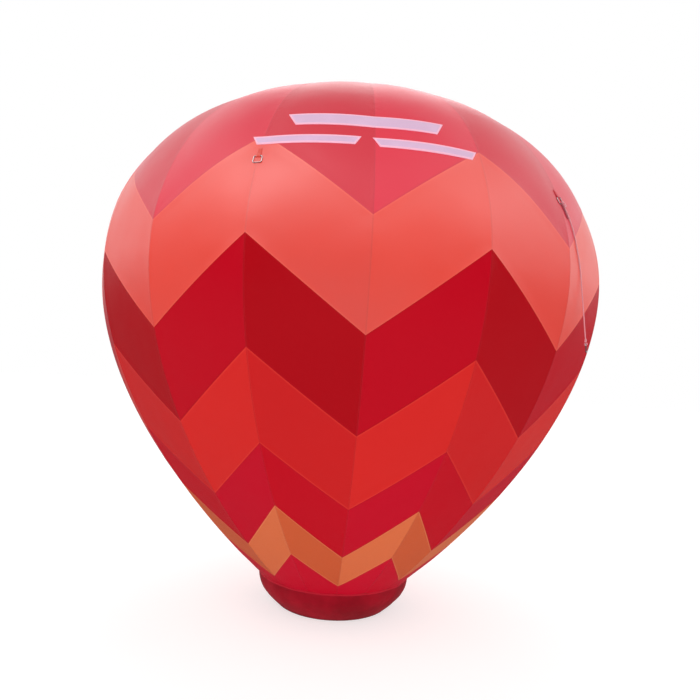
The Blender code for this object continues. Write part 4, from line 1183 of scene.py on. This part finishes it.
# a flat plate of any outline, later outlines cut holes; drawn in its own XY and put in place by a matrix
def plateMesh(outlines, thickness, material, placing, edge):
    curve = bpy.data.curves.new("plate", "CURVE")
    curve.dimensions = "2D"
    curve.fill_mode = "BOTH"
    curve.extrude = thickness / 2 - edge
    curve.bevel_depth = edge
    curve.bevel_resolution = 1
    curve.offset = -edge
    for outline in outlines:
        spline = curve.splines.new("POLY")
        spline.points.add(len(outline) - 1)
        for target, (x, y) in zip(spline.points, outline):
            target.co = (x, y, 0.0, 1.0)
        spline.use_cyclic_u = True
    holder = newObject("plate", curve)
    mesh = plainMesh(holder)
    bpy.data.objects.remove(holder)
    work = bmesh.new()
    work.from_mesh(mesh)
    bmesh.ops.remove_doubles(work, verts=work.verts, dist=0.00002)
    bmesh.ops.recalc_face_normals(work, faces=work.faces)
    work.to_mesh(mesh)
    work.free()
    mesh.transform(placing)
    return finished(mesh, material, 40.0)


# one shape set down at many places, each turned so that its Z points out
def makePlacingTree():
    tree, given = newTree("setDown", {"Shape": "Object", "Material": "Material"})
    shape = tree.node("GeometryNodeObjectInfo", {}, {"Object": given.of("Shape")}, out="Geometry")
    out, along = (tree.node("GeometryNodeInputNamedAttribute", {"data_type": "FLOAT_VECTOR"},
                            {"Name": label}, out="Attribute") for label in ("out", "along"))
    upright = tree.node("FunctionNodeAlignRotationToVector", {"axis": "Z"}, {"Vector": out})
    turned = tree.node("FunctionNodeAlignRotationToVector", {"axis": "X", "pivot_axis": "Z"},
                       {"Rotation": upright, "Vector": along})
    laid = tree.node("GeometryNodeInstanceOnPoints", {}, {"Points": given.of("Geometry"), "Instance": shape,
                                                          "Rotation": turned})
    real = tree.node("GeometryNodeRealizeInstances", {}, {"Geometry": laid})
    return closeTree(tree, real, given.of("Material"))


placingTree = makePlacingTree()


# places is a list of (point, out, along)
def setDown(name, shape, places, material):
    mesh = bpy.data.meshes.new(name)
    mesh.from_pydata([tuple(p) for p, _, _ in places], [], [])
    for at, label in ((1, "out"), (2, "along")):
        values = np.array([tuple(place[at]) for place in places], dtype=float).ravel()
        mesh.attributes.new(label, "FLOAT_VECTOR", "POINT").data.foreach_set("vector", values)
    host, form = newObject(name, mesh, helper=True), newObject(name + "_form", shape, helper=True)
    return bakeTree(host, placingTree, {"Shape": form, "Material": materials[material]})


screwHead = lathe([(0.0002, 0.0008), (0.0013, 0.0008), (0.0014, 0.0018), (0.0026, 0.0018), (0.0032, 0.0013),
                   (0.0034, 0.0), (0.0002, -0.0002)], (0, 0, 0), (0, 0, 1), "zincSteel", 12)


# cloth tube: a profile turned round the upright, with shallow folds between its two sewn ends
def makeClothTubeTree():
    sizes = ("Length", "Swell", "Folds", "Depth", "Ripple")
    tree, given = newTree("clothTube", {**dict.fromkeys(sizes, "Float"), "Profile": "Object", "Rows": "Int",
                                        "Columns": "Int", "Gores": "Int", "Material": "Material"})
    grid = tree.node("GeometryNodeMeshGrid", {}, {
        "Size X": 1.0, "Size Y": 1.0, "Vertices X": given.of("Columns"), "Vertices Y": given.of("Rows")})
    corner = tree.node("ShaderNodeSeparateXYZ", {}, {0: tree.node("GeometryNodeInputPosition")})
    angle = (corner.of("X") + 0.5) * tau
    down = 0.5 - corner.of("Y")
    line = tree.node("GeometryNodeObjectInfo", {}, {"Object": given.of("Profile")}, out="Geometry")
    sample = tree.node("GeometryNodeSampleCurve", {"mode": "FACTOR", "use_all_curves": True},
                       {"Curves": line, "Factor": down}, out="Position")
    spot = tree.node("ShaderNodeSeparateXYZ", {}, {0: sample})
    swing = tree.node("ShaderNodeCombineXYZ", {}, {
        "X": angle.cos() * 1.3, "Y": angle.sin() * 1.3, "Z": down * 0.6})
    drift = tree.node("ShaderNodeTexNoise", {}, {"Vector": swing, "Scale": 1.6, "Detail": 2.0}) - 0.5
    fine = tree.node("ShaderNodeTexNoise", {}, {"Vector": swing, "Scale": 5.0, "Detail": 3.0}) - 0.5
    fold = ((angle * given.of("Folds") + drift * 16.0).sin() * 0.6
            + (angle * (given.of("Folds") * 2.0 + 1.0) + drift * 23.0 + down * 2.0).sin() * 0.4)
    strong = (drift + 0.12).rise(0.0, 0.35)
    fade = (down * (1.0 - down) * 4.0).rise(0.0, 0.8)
    lift = (fold * given.of("Depth") * strong + fine * given.of("Ripple")) * fade
    gore = abs((angle * given.of("Gores") * 0.5).sin()) - 0.5
    reach = spot.of("X") * (1.0 + gore * given.of("Swell") * (1.0 - down)) + lift
    moved = tree.node("ShaderNodeCombineXYZ", {}, {"X": reach * angle.sin(), "Y": -(reach * angle.cos()),
                                                   "Z": spot.of("Z")})
    flat = tree.node("ShaderNodeCombineXYZ", {}, {"X": angle * spot.of("X"), "Y": down * given.of("Length")})
    mapped = tree.node("GeometryNodeStoreNamedAttribute", {"data_type": "FLOAT2", "domain": "CORNER"},
                       {"Geometry": grid, "Name": "UVMap", "Value": flat})
    rimmed = tree.node("GeometryNodeStoreNamedAttribute", {"data_type": "FLOAT", "domain": "POINT"},
                       {"Geometry": mapped, "Name": "fromTop", "Value": down * given.of("Length")})
    shaped = tree.node("GeometryNodeSetPosition", {}, {"Geometry": rimmed, "Position": moved})
    closed = tree.node("GeometryNodeMergeByDistance", {}, {"Geometry": shaped, "Distance": 0.00005})
    smooth = tree.node("GeometryNodeSetShadeSmooth", {}, {"Geometry": closed})
    return closeTree(tree, smooth, given.of("Material"))


collar = {"floorRadius": 0.465, "belly": 0.044, "columns": 361, "rows": 27, "wall": 0.003, "folds": 9.0,
          "depth": 0.0034, "ripple": 0.007, "hem": 0.0042, "piping": 0.0022, "run": 0.275,
          "cutLength": 0.325, "edgeRows": (0.004, 0.0095)}
collarTop = envelope["throatHeight"] - 0.0003


def collarReach(height):
    share = height / envelope["throatHeight"]
    straight = collar["floorRadius"] + (envelope["throatRadius"] - collar["floorRadius"]) * share
    return straight + collar["belly"] * sin(pi * min(max(share, 0.0), 1.0))


# maroon cloth of the collar, redder under its sewn top edge, darker and scuffed along the ground
def makeCollarCloth():
    light, deep = linear(168, 10, 34), linear(142, 6, 26)

    def paint(tree):
        place, flat = objectPlace(tree), clothPlace(tree)
        down = attribute(tree, "fromTop")
        grid = ripStop(flat.of("X"), down)
        broad = noise(tree, place, 5.0, 3.0)
        shade = tree.mix(broad.rise(0.3, 0.7), light, deep)
        seam = 1.0 - down.rise(0.010, 0.013)
        topped = tree.mix(seam * 0.8, shade, linear(196, 18, 44))
        dusty = down.rise(0.20, 0.27) * noise(tree, place, 22.0, 4.0).rise(0.40, 0.75)
        ground = tree.mix(dusty * 0.45, topped, linear(112, 30, 36))
        first, second = (1.0 - abs(down - at).rise(0.0006, 0.0011) for at in collar["edgeRows"])
        stitches = first.most(second) * (flat.of("X") / 0.0075).fract().rise(0.25, 0.35)
        pucker = noise(tree, place, 34.0, 3.0, 0.55) * (1.0 - down.rise(0.0, 0.06))
        relief = bump(tree, pucker, 0.004, 0.5, bump(tree, noise(tree, place, 9.0, 3.0), 0.010, 0.4))
        relief = bump(tree, grid + stitches * 2.0, 0.0003, 0.3, relief)
        return {"Base Color": tree.mix(stitches * 0.5, ground, linear(214, 70, 84)),
                "Roughness": 0.55 + broad * 0.08 + dusty * 0.2, "Normal": relief}

    return makeMaterial("collarCloth", {"Sheen Weight": 0.02, "Sheen Roughness": 0.4,
                                        "Specular IOR Level": 0.08}, paint)


# a round of cord in the ground's plane
def groundRing(reach, height, thick, sides, material):
    path = [(reach * sin(a), -reach * cos(a), height) for a in fullTurn(180)]
    return sweep(path, (0, 0, 1), roundSection(thick, sides), material, cyclic=True)


def makeCollar():
    c = collar
    line = lineCurve("collarLine", [(collarReach(h), h) for h in np.linspace(collarTop, 0.0008, 60)])
    mesh = bakeTree(pathHost("collarHost"), makeClothTubeTree(), {
        "Profile": line, "Columns": c["columns"], "Rows": c["rows"], "Length": c["run"],
        "Gores": envelope["gores"], "Swell": envelope["swell"], "Folds": c["folds"], "Depth": c["depth"],
        "Ripple": c["ripple"], "Material": makeCollarCloth()})
    cloth = addPiece("collar_cloth", thicken(mesh, c["wall"]), standsFor=["base_collar"])
    declareCloth(cloth, collarReach(collarTop), c["cutLength"])
    hem = groundRing(c["floorRadius"], c["hem"], c["hem"], 12, "darkBinding")
    addPiece("collar_hem", hem)
    piping = groundRing(collarReach(collarTop) * 1.001, collarTop, c["piping"], 10, "sleeveCloth")
    addPiece("collar_piping", piping)
    nodes["base_floor"].material_slots[0].material = materials["maroonCloth"]


makeWebbing("darkBinding", linear(66, 10, 22), linear(40, 5, 13))
makeCollar()
print("collar made")


# inflation sleeve: from the collar's wall to the spout, gathered under its strap
sleeve = {"height": 0.130, "radius": 0.0745, "belly": 0.010, "begin": 0.56, "end": 1.085, "strap": 1.059,
          "wall": 0.002, "gathers": 19, "gatherDepth": 0.0026, "strapWidth": 0.022, "web": 0.0016,
          "columns": 152, "rows": 70}


def sleeveStart(angle):
    x, z = sleeve["radius"] * sin(angle), sleeve["height"] + sleeve["radius"] * cos(angle)
    return sqrt(collarReach(z) ** 2 - x ** 2)


# shape of the sleeve's cloth: the gathers are deep beside the strap and pressed flat under it
def sleeveReach(angle, share, y):
    s = sleeve
    belly = s["belly"] * sin(pi * min(share / 0.92, 1.0))
    away = abs(y - s["strap"]) - s["strapWidth"] / 2
    near = exp(-max(away, 0.0) / 0.055)
    pinch = 1.0 if away > 0 else 0.12
    wander = sin(angle * 3 + 0.7) * 1.3 + sin(angle * 5 + 2.1) * 0.7
    folds = sin(angle * s["gathers"] + wander) * 0.65 + sin(angle * (s["gathers"] + 8) - wander) * 0.35
    start = exp(-(y - s["begin"]) / 0.05) * sin((y - s["begin"]) * 120 + wander) * 0.0016
    flare = 0.0022 * max(0.0, (y - s["strap"] - 0.011) / 0.015)
    dents = 0.0012 * sin(angle * 2 + y * 31) * sin(y * 17 + 1.0) * sin(pi * share)
    gathered = folds * s["gatherDepth"] * near * pinch * 0.8
    return s["radius"] + 0.0008 + belly + gathered + start + flare + dents


# a point round the sleeve's axis
def roundSleeve(angle, reach, y):
    return reach * sin(angle), y, sleeve["height"] + reach * cos(angle)


def makeSleeve():
    s = sleeve
    points, sheet = [], []
    for share in np.linspace(0, 1, s["rows"]):
        for a in fullTurn(s["columns"]):
            begin = sleeveStart(a) - 0.006
            y = begin + (s["end"] - begin) * share
            points.append(roundSleeve(a, sleeveReach(a, share, y), y))
            sheet.append((a * s["radius"], y))
    mesh = meshFrom(points, tubeFaces(s["rows"], s["columns"]), "sleeveCloth", sheet, sharp=80.0)
    cloth = addPiece("sleeve_cloth", thicken(mesh, s["wall"]), standsFor=["inflation_sleeve"])
    declareCloth(cloth, s["radius"] + s["belly"], s["end"] - sleeveStart(0.0) + 0.02)
    around = fullTurn(96)
    ring = [roundSleeve(a, s["radius"] + 0.003, sleeveStart(a) + 0.001) for a in around]
    addPiece("sleeve_piping", sweep(ring, (0, 1, 0), roundSection(0.0032), "maroonCloth", cyclic=True))
    rows = []
    for share, place in ((0.04, lambda a: sleeveStart(a) + 0.012), (0.04, lambda a: sleeveStart(a) + 0.018),
                         (1.0, lambda a: s["end"] - 0.006)):
        rows.append([roundSleeve(a, sleeveReach(a, share, place(a)) + 0.0004, place(a))
                     for a in np.linspace(0, tau, 121)])
    addStitches("sleeve_stitches", rows, "redThread", 0.007, 0.005, 0.0011)
    band = s["radius"] + 0.0026
    strap = sweep([roundSleeve(a, band, s["strap"]) for a in around], (0, 1, 0),
                  webSection(s["strapWidth"], s["web"]), "blackWebbing", cyclic=True)
    addPiece("sleeve_band", strap, standsFor=["sleeve_strap"])
    rise = [(-0.20, 0.0018), (-0.12, 0.0032), (0.0, 0.0066), (0.12, 0.0036), (0.22, 0.0020), (0.5, 0.0019),
            (0.8, 0.0020), (1.0, 0.0034)]
    tail = sweep(smoothLine([roundSleeve(a, band + lift, s["strap"]) for a, lift in rise], 0.002), (0, 1, 0),
                 webSection(s["strapWidth"] - 0.001, s["web"]), "blackWebbing")
    addPiece("strap_tail", tail)
    top = s["height"] + band + 0.0036
    outline = roundedBox(0.026, 0.030, 0.004, centre=(0.0, s["strap"]))
    buckle = [sweep([(x, y, top + 0.0008) for x, y in outline], (0, 0, 1), roundSection(0.0019, 8),
                    "zincSteel", cyclic=True)]
    for x, lift in ((-0.0035, 0.0), (0.0045, 0.0012)):
        bar = [(x, s["strap"] - 0.0135 + 0.0027 * i, top + lift) for i in range(11)]
        buckle.append(sweep(bar, (0, 0, 1), roundSection(0.0015, 8), "zincSteel"))
    addPiece("ladder_buckle", joined(buckle), standsFor=["strap_buckle"])


makeSleeve()
print("sleeve made")


# deflation zip: two tapes, teeth between them, a slider with its pull
zipper = {"azimuth": 150.0, "low": 0.298, "high": 0.596, "width": 0.040, "gap": 0.0036, "lift": 0.0016,
          "slider": 0.348, "tooth": 0.0038, "stitchRow": 0.0165}


def makeZip():
    z = zipper
    middle = radians(z["azimuth"])
    across = Vector((cos(middle), sin(middle), 0.0))
    first, last = stationAtHeight(z["high"]), stationAtHeight(z["low"])
    station = np.linspace(first, last, 60)
    reach = np.interp(station, seamStation, seamReach)
    near, width = z["gap"] / 2, z["width"] / 2
    spread = np.array([near, near + 0.0004, 0.005, 0.010, 0.015, width - 0.0005, width])
    sides = []
    for offsets in (-spread[::-1], spread):
        azimuth = middle + offsets[None, :] / reach[:, None]
        rim = np.minimum(abs(offsets) - near, width - abs(offsets))[None, :] + 0 * azimuth
        lift = z["lift"] * np.where(rim < 0.0002, 0.5, 1.0)
        sides.append(skinSlab(azimuth, station[:, None], lift, -0.0004, "blackWebbing", rim))
    addPiece("zip_tapes", joined(sides), standsFor=["deflation_zip"])
    tooth = block((0.0036, 0.0021, 0.0022), (0, 0, 0), "blackMoulding", 0.0005)
    places = []
    for i, s in enumerate(np.arange(first + 0.004, last - 0.004, z["tooth"] / 2)):
        spot = Vector(onSkin(middle, s, 0.0014).tolist()) + across * (0.0009 if i % 2 else -0.0009)
        places.append((spot, skinNormal(middle, s), across))
    addPiece("zip_teeth", setDown("zip_teeth", tooth, places, "blackMoulding"))
    rows = [onSkin(middle + side * z["stitchRow"] / reach, station, z["lift"] + 0.0002) for side in (-1, 1)]
    addStitches("zip_stitches", rows, "darkThread", 0.006, 0.0044, 0.0009)
    s = stationAtHeight(z["slider"])
    out = skinNormal(middle, s)
    up = out.cross(across)
    at = Vector(onSkin(middle, s, 0.0).tolist())
    shield = [(-0.0035, -0.012), (0.0035, -0.012), (0.0052, -0.006), (0.0068, 0.003), (0.0066, 0.009),
              (0.0030, 0.0125), (-0.0030, 0.0125), (-0.0066, 0.009), (-0.0068, 0.003), (-0.0052, -0.006)]
    body = plateMesh([shield], 0.0022, "zincSteel", asPlace(at + out * 0.0042, across, up, out), 0.0007)
    rise = ((-0.009, 0.0050), (-0.006, 0.0076), (0.002, 0.0080), (0.007, 0.0052))
    bridge = sweep(smoothLine([tuple(at + up * y + out * height) for y, height in rise], 0.001),
                   tuple(across), webSection(0.0034, 0.0014), "zincSteel")
    outlines = [roundedBox(0.009, 0.034, 0.004, centre=(0.0, -0.019)),
                roundedBox(0.0042, 0.010, 0.002, centre=(0.0, -0.0080))]
    tilt = Matrix.Rotation(radians(-5.0), 4, "X")
    placing = asPlace(at + out * 0.0066, across, up, out) @ tilt
    pull = plateMesh(outlines, 0.0018, "zincSteel", placing, 0.0006)
    addPiece("zip_pull", joined([body, bridge, pull]), standsFor=["zip_slider"])


makeZip()
print("zip made")


# blower: moulded scroll on a pedestal, grille, wheel, motor, handle, feet, mains socket
blower = {"middle": 1.335, "height": 0.235, "scroll": 0.150, "growth": 0.055, "front": 1.120, "half": 0.095,
          "spout": 0.071, "spoutStart": 1.030, "spoutHeight": 0.130, "pedestal": (0.190, 0.260, 0.060),
          "pedestalFoot": 0.018, "guard": 0.100, "motor": 0.068, "motorNear": -0.0953, "motorFar": -0.2003,
          "saddle": 0.414, "footX": 0.071, "footY": 0.106, "foot": 0.016, "footHeight": 0.0177}
blowerAxis = Vector((0.0, blower["middle"], blower["height"]))


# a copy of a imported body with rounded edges
def softened(name, width, material, segments):
    made = withModifier(nodes[name].data.copy(), "BEVEL", width=width, segments=segments,
                        limit_method="ANGLE", angle_limit=radians(40.0), harden_normals=False)
    return finished(made, material, 35.0)


# a point of the scroll's outline; it grows from the spout's lower edge round to its upper one
def scrollEdge(angle, inset=0.0):
    share = (188.0 - angle) / 278.0
    reach = blower["scroll"] + blower["growth"] * share - inset
    return blower["middle"] + reach * cos(radians(angle)), blower["height"] + reach * sin(radians(angle))


# screw heads or the like, all facing one way, on a circle round the blower's axis
def axisPlaces(x, facing, reach, degrees):
    return [((x, blower["middle"] + reach * cos(radians(a)), blower["height"] + reach * sin(radians(a))),
             (facing, 0, 0), (0, 1, 0)) for a in degrees]


def makeCase():
    b = blower
    half, plastic = b["half"], "mouldedCase"
    wrap = [(0.0, *scrollEdge(a, 0.0010)) for a in np.linspace(187.5, -62, 120)]
    seam = [(0.0, *scrollEdge(a)) for a in np.linspace(186, -48, 90)]
    parts = [softened("blower_housing", 0.0022, plastic, 3),
             sweep(wrap, (1, 0, 0), webSection(2 * half + 0.0008, 0.0036), plastic, sharp=30.0),
             sweep(seam, (1, 0, 0), webSection(0.010, 0.008), plastic)]
    for side in (-1, 1):
        rim = [(side * half, *scrollEdge(a, 0.004)) for a in np.linspace(188, -60, 80)]
        parts.append(sweep(rim, (1, 0, 0), webSection(0.006, 0.006), plastic))
    boss = lathe([(0.0002, 0.0), (0.0070, 0.0), (0.0062, 0.0040), (0.0050, 0.0046), (0.0002, 0.0046)],
                 (0, 0, 0), (0, 0, 1), plastic, 16)
    spots = [(side, *scrollEdge(a, 0.014)) for side in (-1, 1) for a in (176, 136, 94, 54, 16, -22)]
    spots += [(side, y, z) for side in (-1, 1) for y, z in ((1.134, 0.200), (1.134, 0.096))]
    parts.append(setDown("bosses", boss, [((s * half, y, z), (s, 0, 0), (0, 1, 0)) for s, y, z in spots],
                         plastic))
    rib = block((0.004, 0.046, 0.0030), (0, 0, 0), plastic, 0.0010)
    wide, deep, tall = b["pedestal"]
    middle = b["pedestalFoot"] + tall / 2
    ribs = [((side * wide / 2, b["middle"] + y, middle), (side, 0, 0), (0, 1, 0))
            for side in (-1, 1) for y in np.linspace(-deep / 2 + 0.025, deep / 2 - 0.025, 7)]
    ribs += [((x, b["middle"] - deep / 2, middle), (0, -1, 0), (1, 0, 0))
             for x in (-0.075, -0.045, 0.045, 0.075)]
    parts.append(setDown("ribs", rib, ribs, plastic))
    addPiece("blower_case", joined(parts), standsFor=["blower_housing"])
    heads = [((s * (half + 0.0044), y, z), (s, 0, 0), (0, 1, 0)) for s, y, z in spots]
    heads += axisPlaces(half + 0.0034, 1, 0.0935, (0, 90, 180, 270))
    addPiece("case_screws", setDown("case_screws", screwHead, heads, "zincSteel"))
    bezel = [(0.1002, 0.0), (0.1100, 0.0), (0.1096, 0.0040), (0.1070, 0.0062), (0.1030, 0.0062),
             (0.1002, 0.0046)]
    addPiece("inlet_bezel", lathe(bezel, (half - 0.0002, b["middle"], b["height"]), (1, 0, 0), plastic, 72,
                                  ring=True))
    addPiece("guard_plate", softened("inlet_guard", 0.0007, "zincSteel", 2),
             standsFor=["inlet_guard"])
    hub = [(0.0002, 0.0030), (0.0090, 0.0030), (0.0125, 0.0022), (0.0140, 0.0), (0.0002, -0.0002)]
    addPiece("guard_hub", lathe(hub, (half + 0.0033, b["middle"], b["height"]), (1, 0, 0), "zincSteel", 32))
    holes = [arc((x, 0.0), 0.0014, 360, 30, 12) for x in (-0.0245, 0.0245)]
    plate = plateMesh([roundedBox(0.058, 0.034, 0.004)] + holes, 0.0016, "greyEnamel",
                      asPlace((half + 0.0007, 1.166, 0.150), (0, 1, 0), (0, 0, 1), (1, 0, 0)), 0.0004)
    addPiece("blank_plate", plate)


def makeMotor():
    b = blower
    outer, near, far = b["motor"], b["motorNear"], b["motorFar"]
    length = near - far
    profile = [(0.0080, 0.0), (outer, 0.0), (outer, 0.0080), (outer - 0.0016, 0.0088)]
    for at in np.arange(0.0120, 0.0780, 0.0066):
        low, high = outer - 0.0062, outer - 0.0004
        profile += [(low, at), (high, at + 0.0004), (high, at + 0.0022), (low, at + 0.0028)]
    profile += [(outer - 0.0016, 0.0804), (outer, 0.0810), (outer, 0.0920), (outer - 0.0030, 0.0990),
                (outer - 0.0120, 0.1036), (0.030, length - 0.0004), (0.028, length - 0.0030),
                (0.012, length - 0.0030), (0.0105, length), (0.0002, length)]
    body = lathe(profile, (near, b["middle"], b["height"]), (-1, 0, 0), "greyEnamel", 72)
    slit = block((0.0040, 0.0170, 0.0030), (0, 0, 0), "blackMoulding", 0.0010)
    vents = []
    for a in (radians(d) for d in range(0, 360, 20)):
        spot = Vector((far + 0.0013, b["middle"], b["height"])) + Vector((0.0, cos(a), sin(a))) * 0.0445
        vents.append((spot, (-1, 0, 0), (0.0, -sin(a), cos(a))))
    addPiece("motor_body", joined([body, setDown("vents", slit, vents, "blackMoulding")]),
             standsFor=["motor"])
    gland = [(0.0002, 0.0), (0.0090, 0.0), (0.0090, 0.0050), (0.0078, 0.0056), (0.0078, 0.0100),
             (0.0060, 0.0120), (0.0044, 0.0125), (0.0002, 0.0125)]
    addPiece("motor_gland", lathe(gland, (near - 0.086, b["middle"], b["height"] - 0.0665), (0, 0, -1),
                                  "blackMoulding", 24))
    tieRods = axisPlaces(far + 0.0030, -1, 0.060, (45, 135, 225, 315))
    addPiece("motor_screws", setDown("motor_screws", screwHead, tieRods, "zincSteel"))


def makeHandle():
    middle, foot = blower["middle"], blower["saddle"] + 0.0003
    rise, bend, half = 0.050, 0.022, 0.065
    path = [(middle - half, foot), *arc((middle - half + bend, foot + rise - bend), bend, 180, 90, 12),
            *arc((middle + half - bend, foot + rise - bend), bend, 90, 0, 12), (middle + half, foot)]
    parts = [sweep([(0.0, y, z) for y, z in path], (1, 0, 0), roundSection(0.0086, 20), "mouldedCase")]
    grip = [(0.0088, 0.0), (0.0108, 0.0010)]
    for at in np.arange(0.0060, 0.0740, 0.0058):
        grip += [(0.0108, at), (0.0098, at + 0.0010), (0.0098, at + 0.0018), (0.0108, at + 0.0028)]
    grip += [(0.0108, 0.0790), (0.0088, 0.0800)]
    parts.append(lathe(grip, (0.0, middle - 0.040, foot + rise), (0, 1, 0), "blackRubber", 32))
    shoe = [(0.0002, 0.0), (0.0150, 0.0), (0.0150, 0.0030), (0.0112, 0.0090), (0.0088, 0.0100),
            (0.0002, 0.0100)]
    parts += [lathe(shoe, (0.0, middle + side * half, foot - 0.0002), (0, 0, 1), "mouldedCase", 32)
              for side in (-1, 1)]
    addPiece("carry_handle", joined(parts), standsFor=["blower_handle"])


def makeFeet():
    b = blower
    h = b["footHeight"]
    profile = [(0.0002, 0.0), (0.0130, 0.0), (0.0150, 0.0014), (0.0160, 0.0040), (0.0156, 0.0080),
               (0.0140, 0.0094), (0.0140, 0.0108), (0.0158, 0.0120), (0.0158, h), (0.0002, h)]
    spots = [(x, b["middle"] + y, 0.0) for x in (-b["footX"], b["footX"]) for y in (-b["footY"], b["footY"])]
    for number, spot in enumerate(spots, 1):
        foot = lathe(profile, spot, (0, 0, 1), "blackRubber", 36)
        addPiece(f"rubber_foot_{number}", foot, standsFor=[f"blower_foot_{number}"])


def makeSocket():
    wide, deep, tall, back, middle = 0.050, 0.014, 0.032, 1.4653, 0.048
    recess = [(-0.012, -0.0085), (0.012, -0.0085), (0.012, 0.0035), (0.0065, 0.0085), (-0.0065, 0.0085),
              (-0.012, 0.0035)]
    placing = asPlace((0.0, back + deep / 2, middle), (-1, 0, 0), (0, 0, 1), (0, 1, 0))
    parts = [plateMesh([roundedBox(wide, tall, 0.004), recess], deep, "blackMoulding", placing, 0.0010),
             block((0.030, 0.0030, 0.022), (0.0, back + 0.0016, middle), "blackMoulding", 0.0008)]
    parts += [block((0.0024, 0.0085, 0.0050), (x, back + 0.0070, middle + z), "contactBrass", 0.0006)
              for x, z in ((-0.0065, -0.0028), (0.0, 0.0026), (0.0065, -0.0028))]
    addPiece("mains_socket", joined(parts), standsFor=["power_inlet"])
    heads = [((x, back + deep - 0.0002, middle), (0, 1, 0), (1, 0, 0)) for x in (-0.0195, 0.0195)]
    addPiece("socket_screws", setDown("socket_screws", screwHead, heads, "zincSteel"))


makeCase()
makeMotor()
makeHandle()
makeFeet()
makeSocket()
nodes["impeller"].material_slots[0].material = materials["paleMoulding"]
print("blower made")


for helper in helpers:
    bpy.data.objects.remove(helper, do_unlink=True)
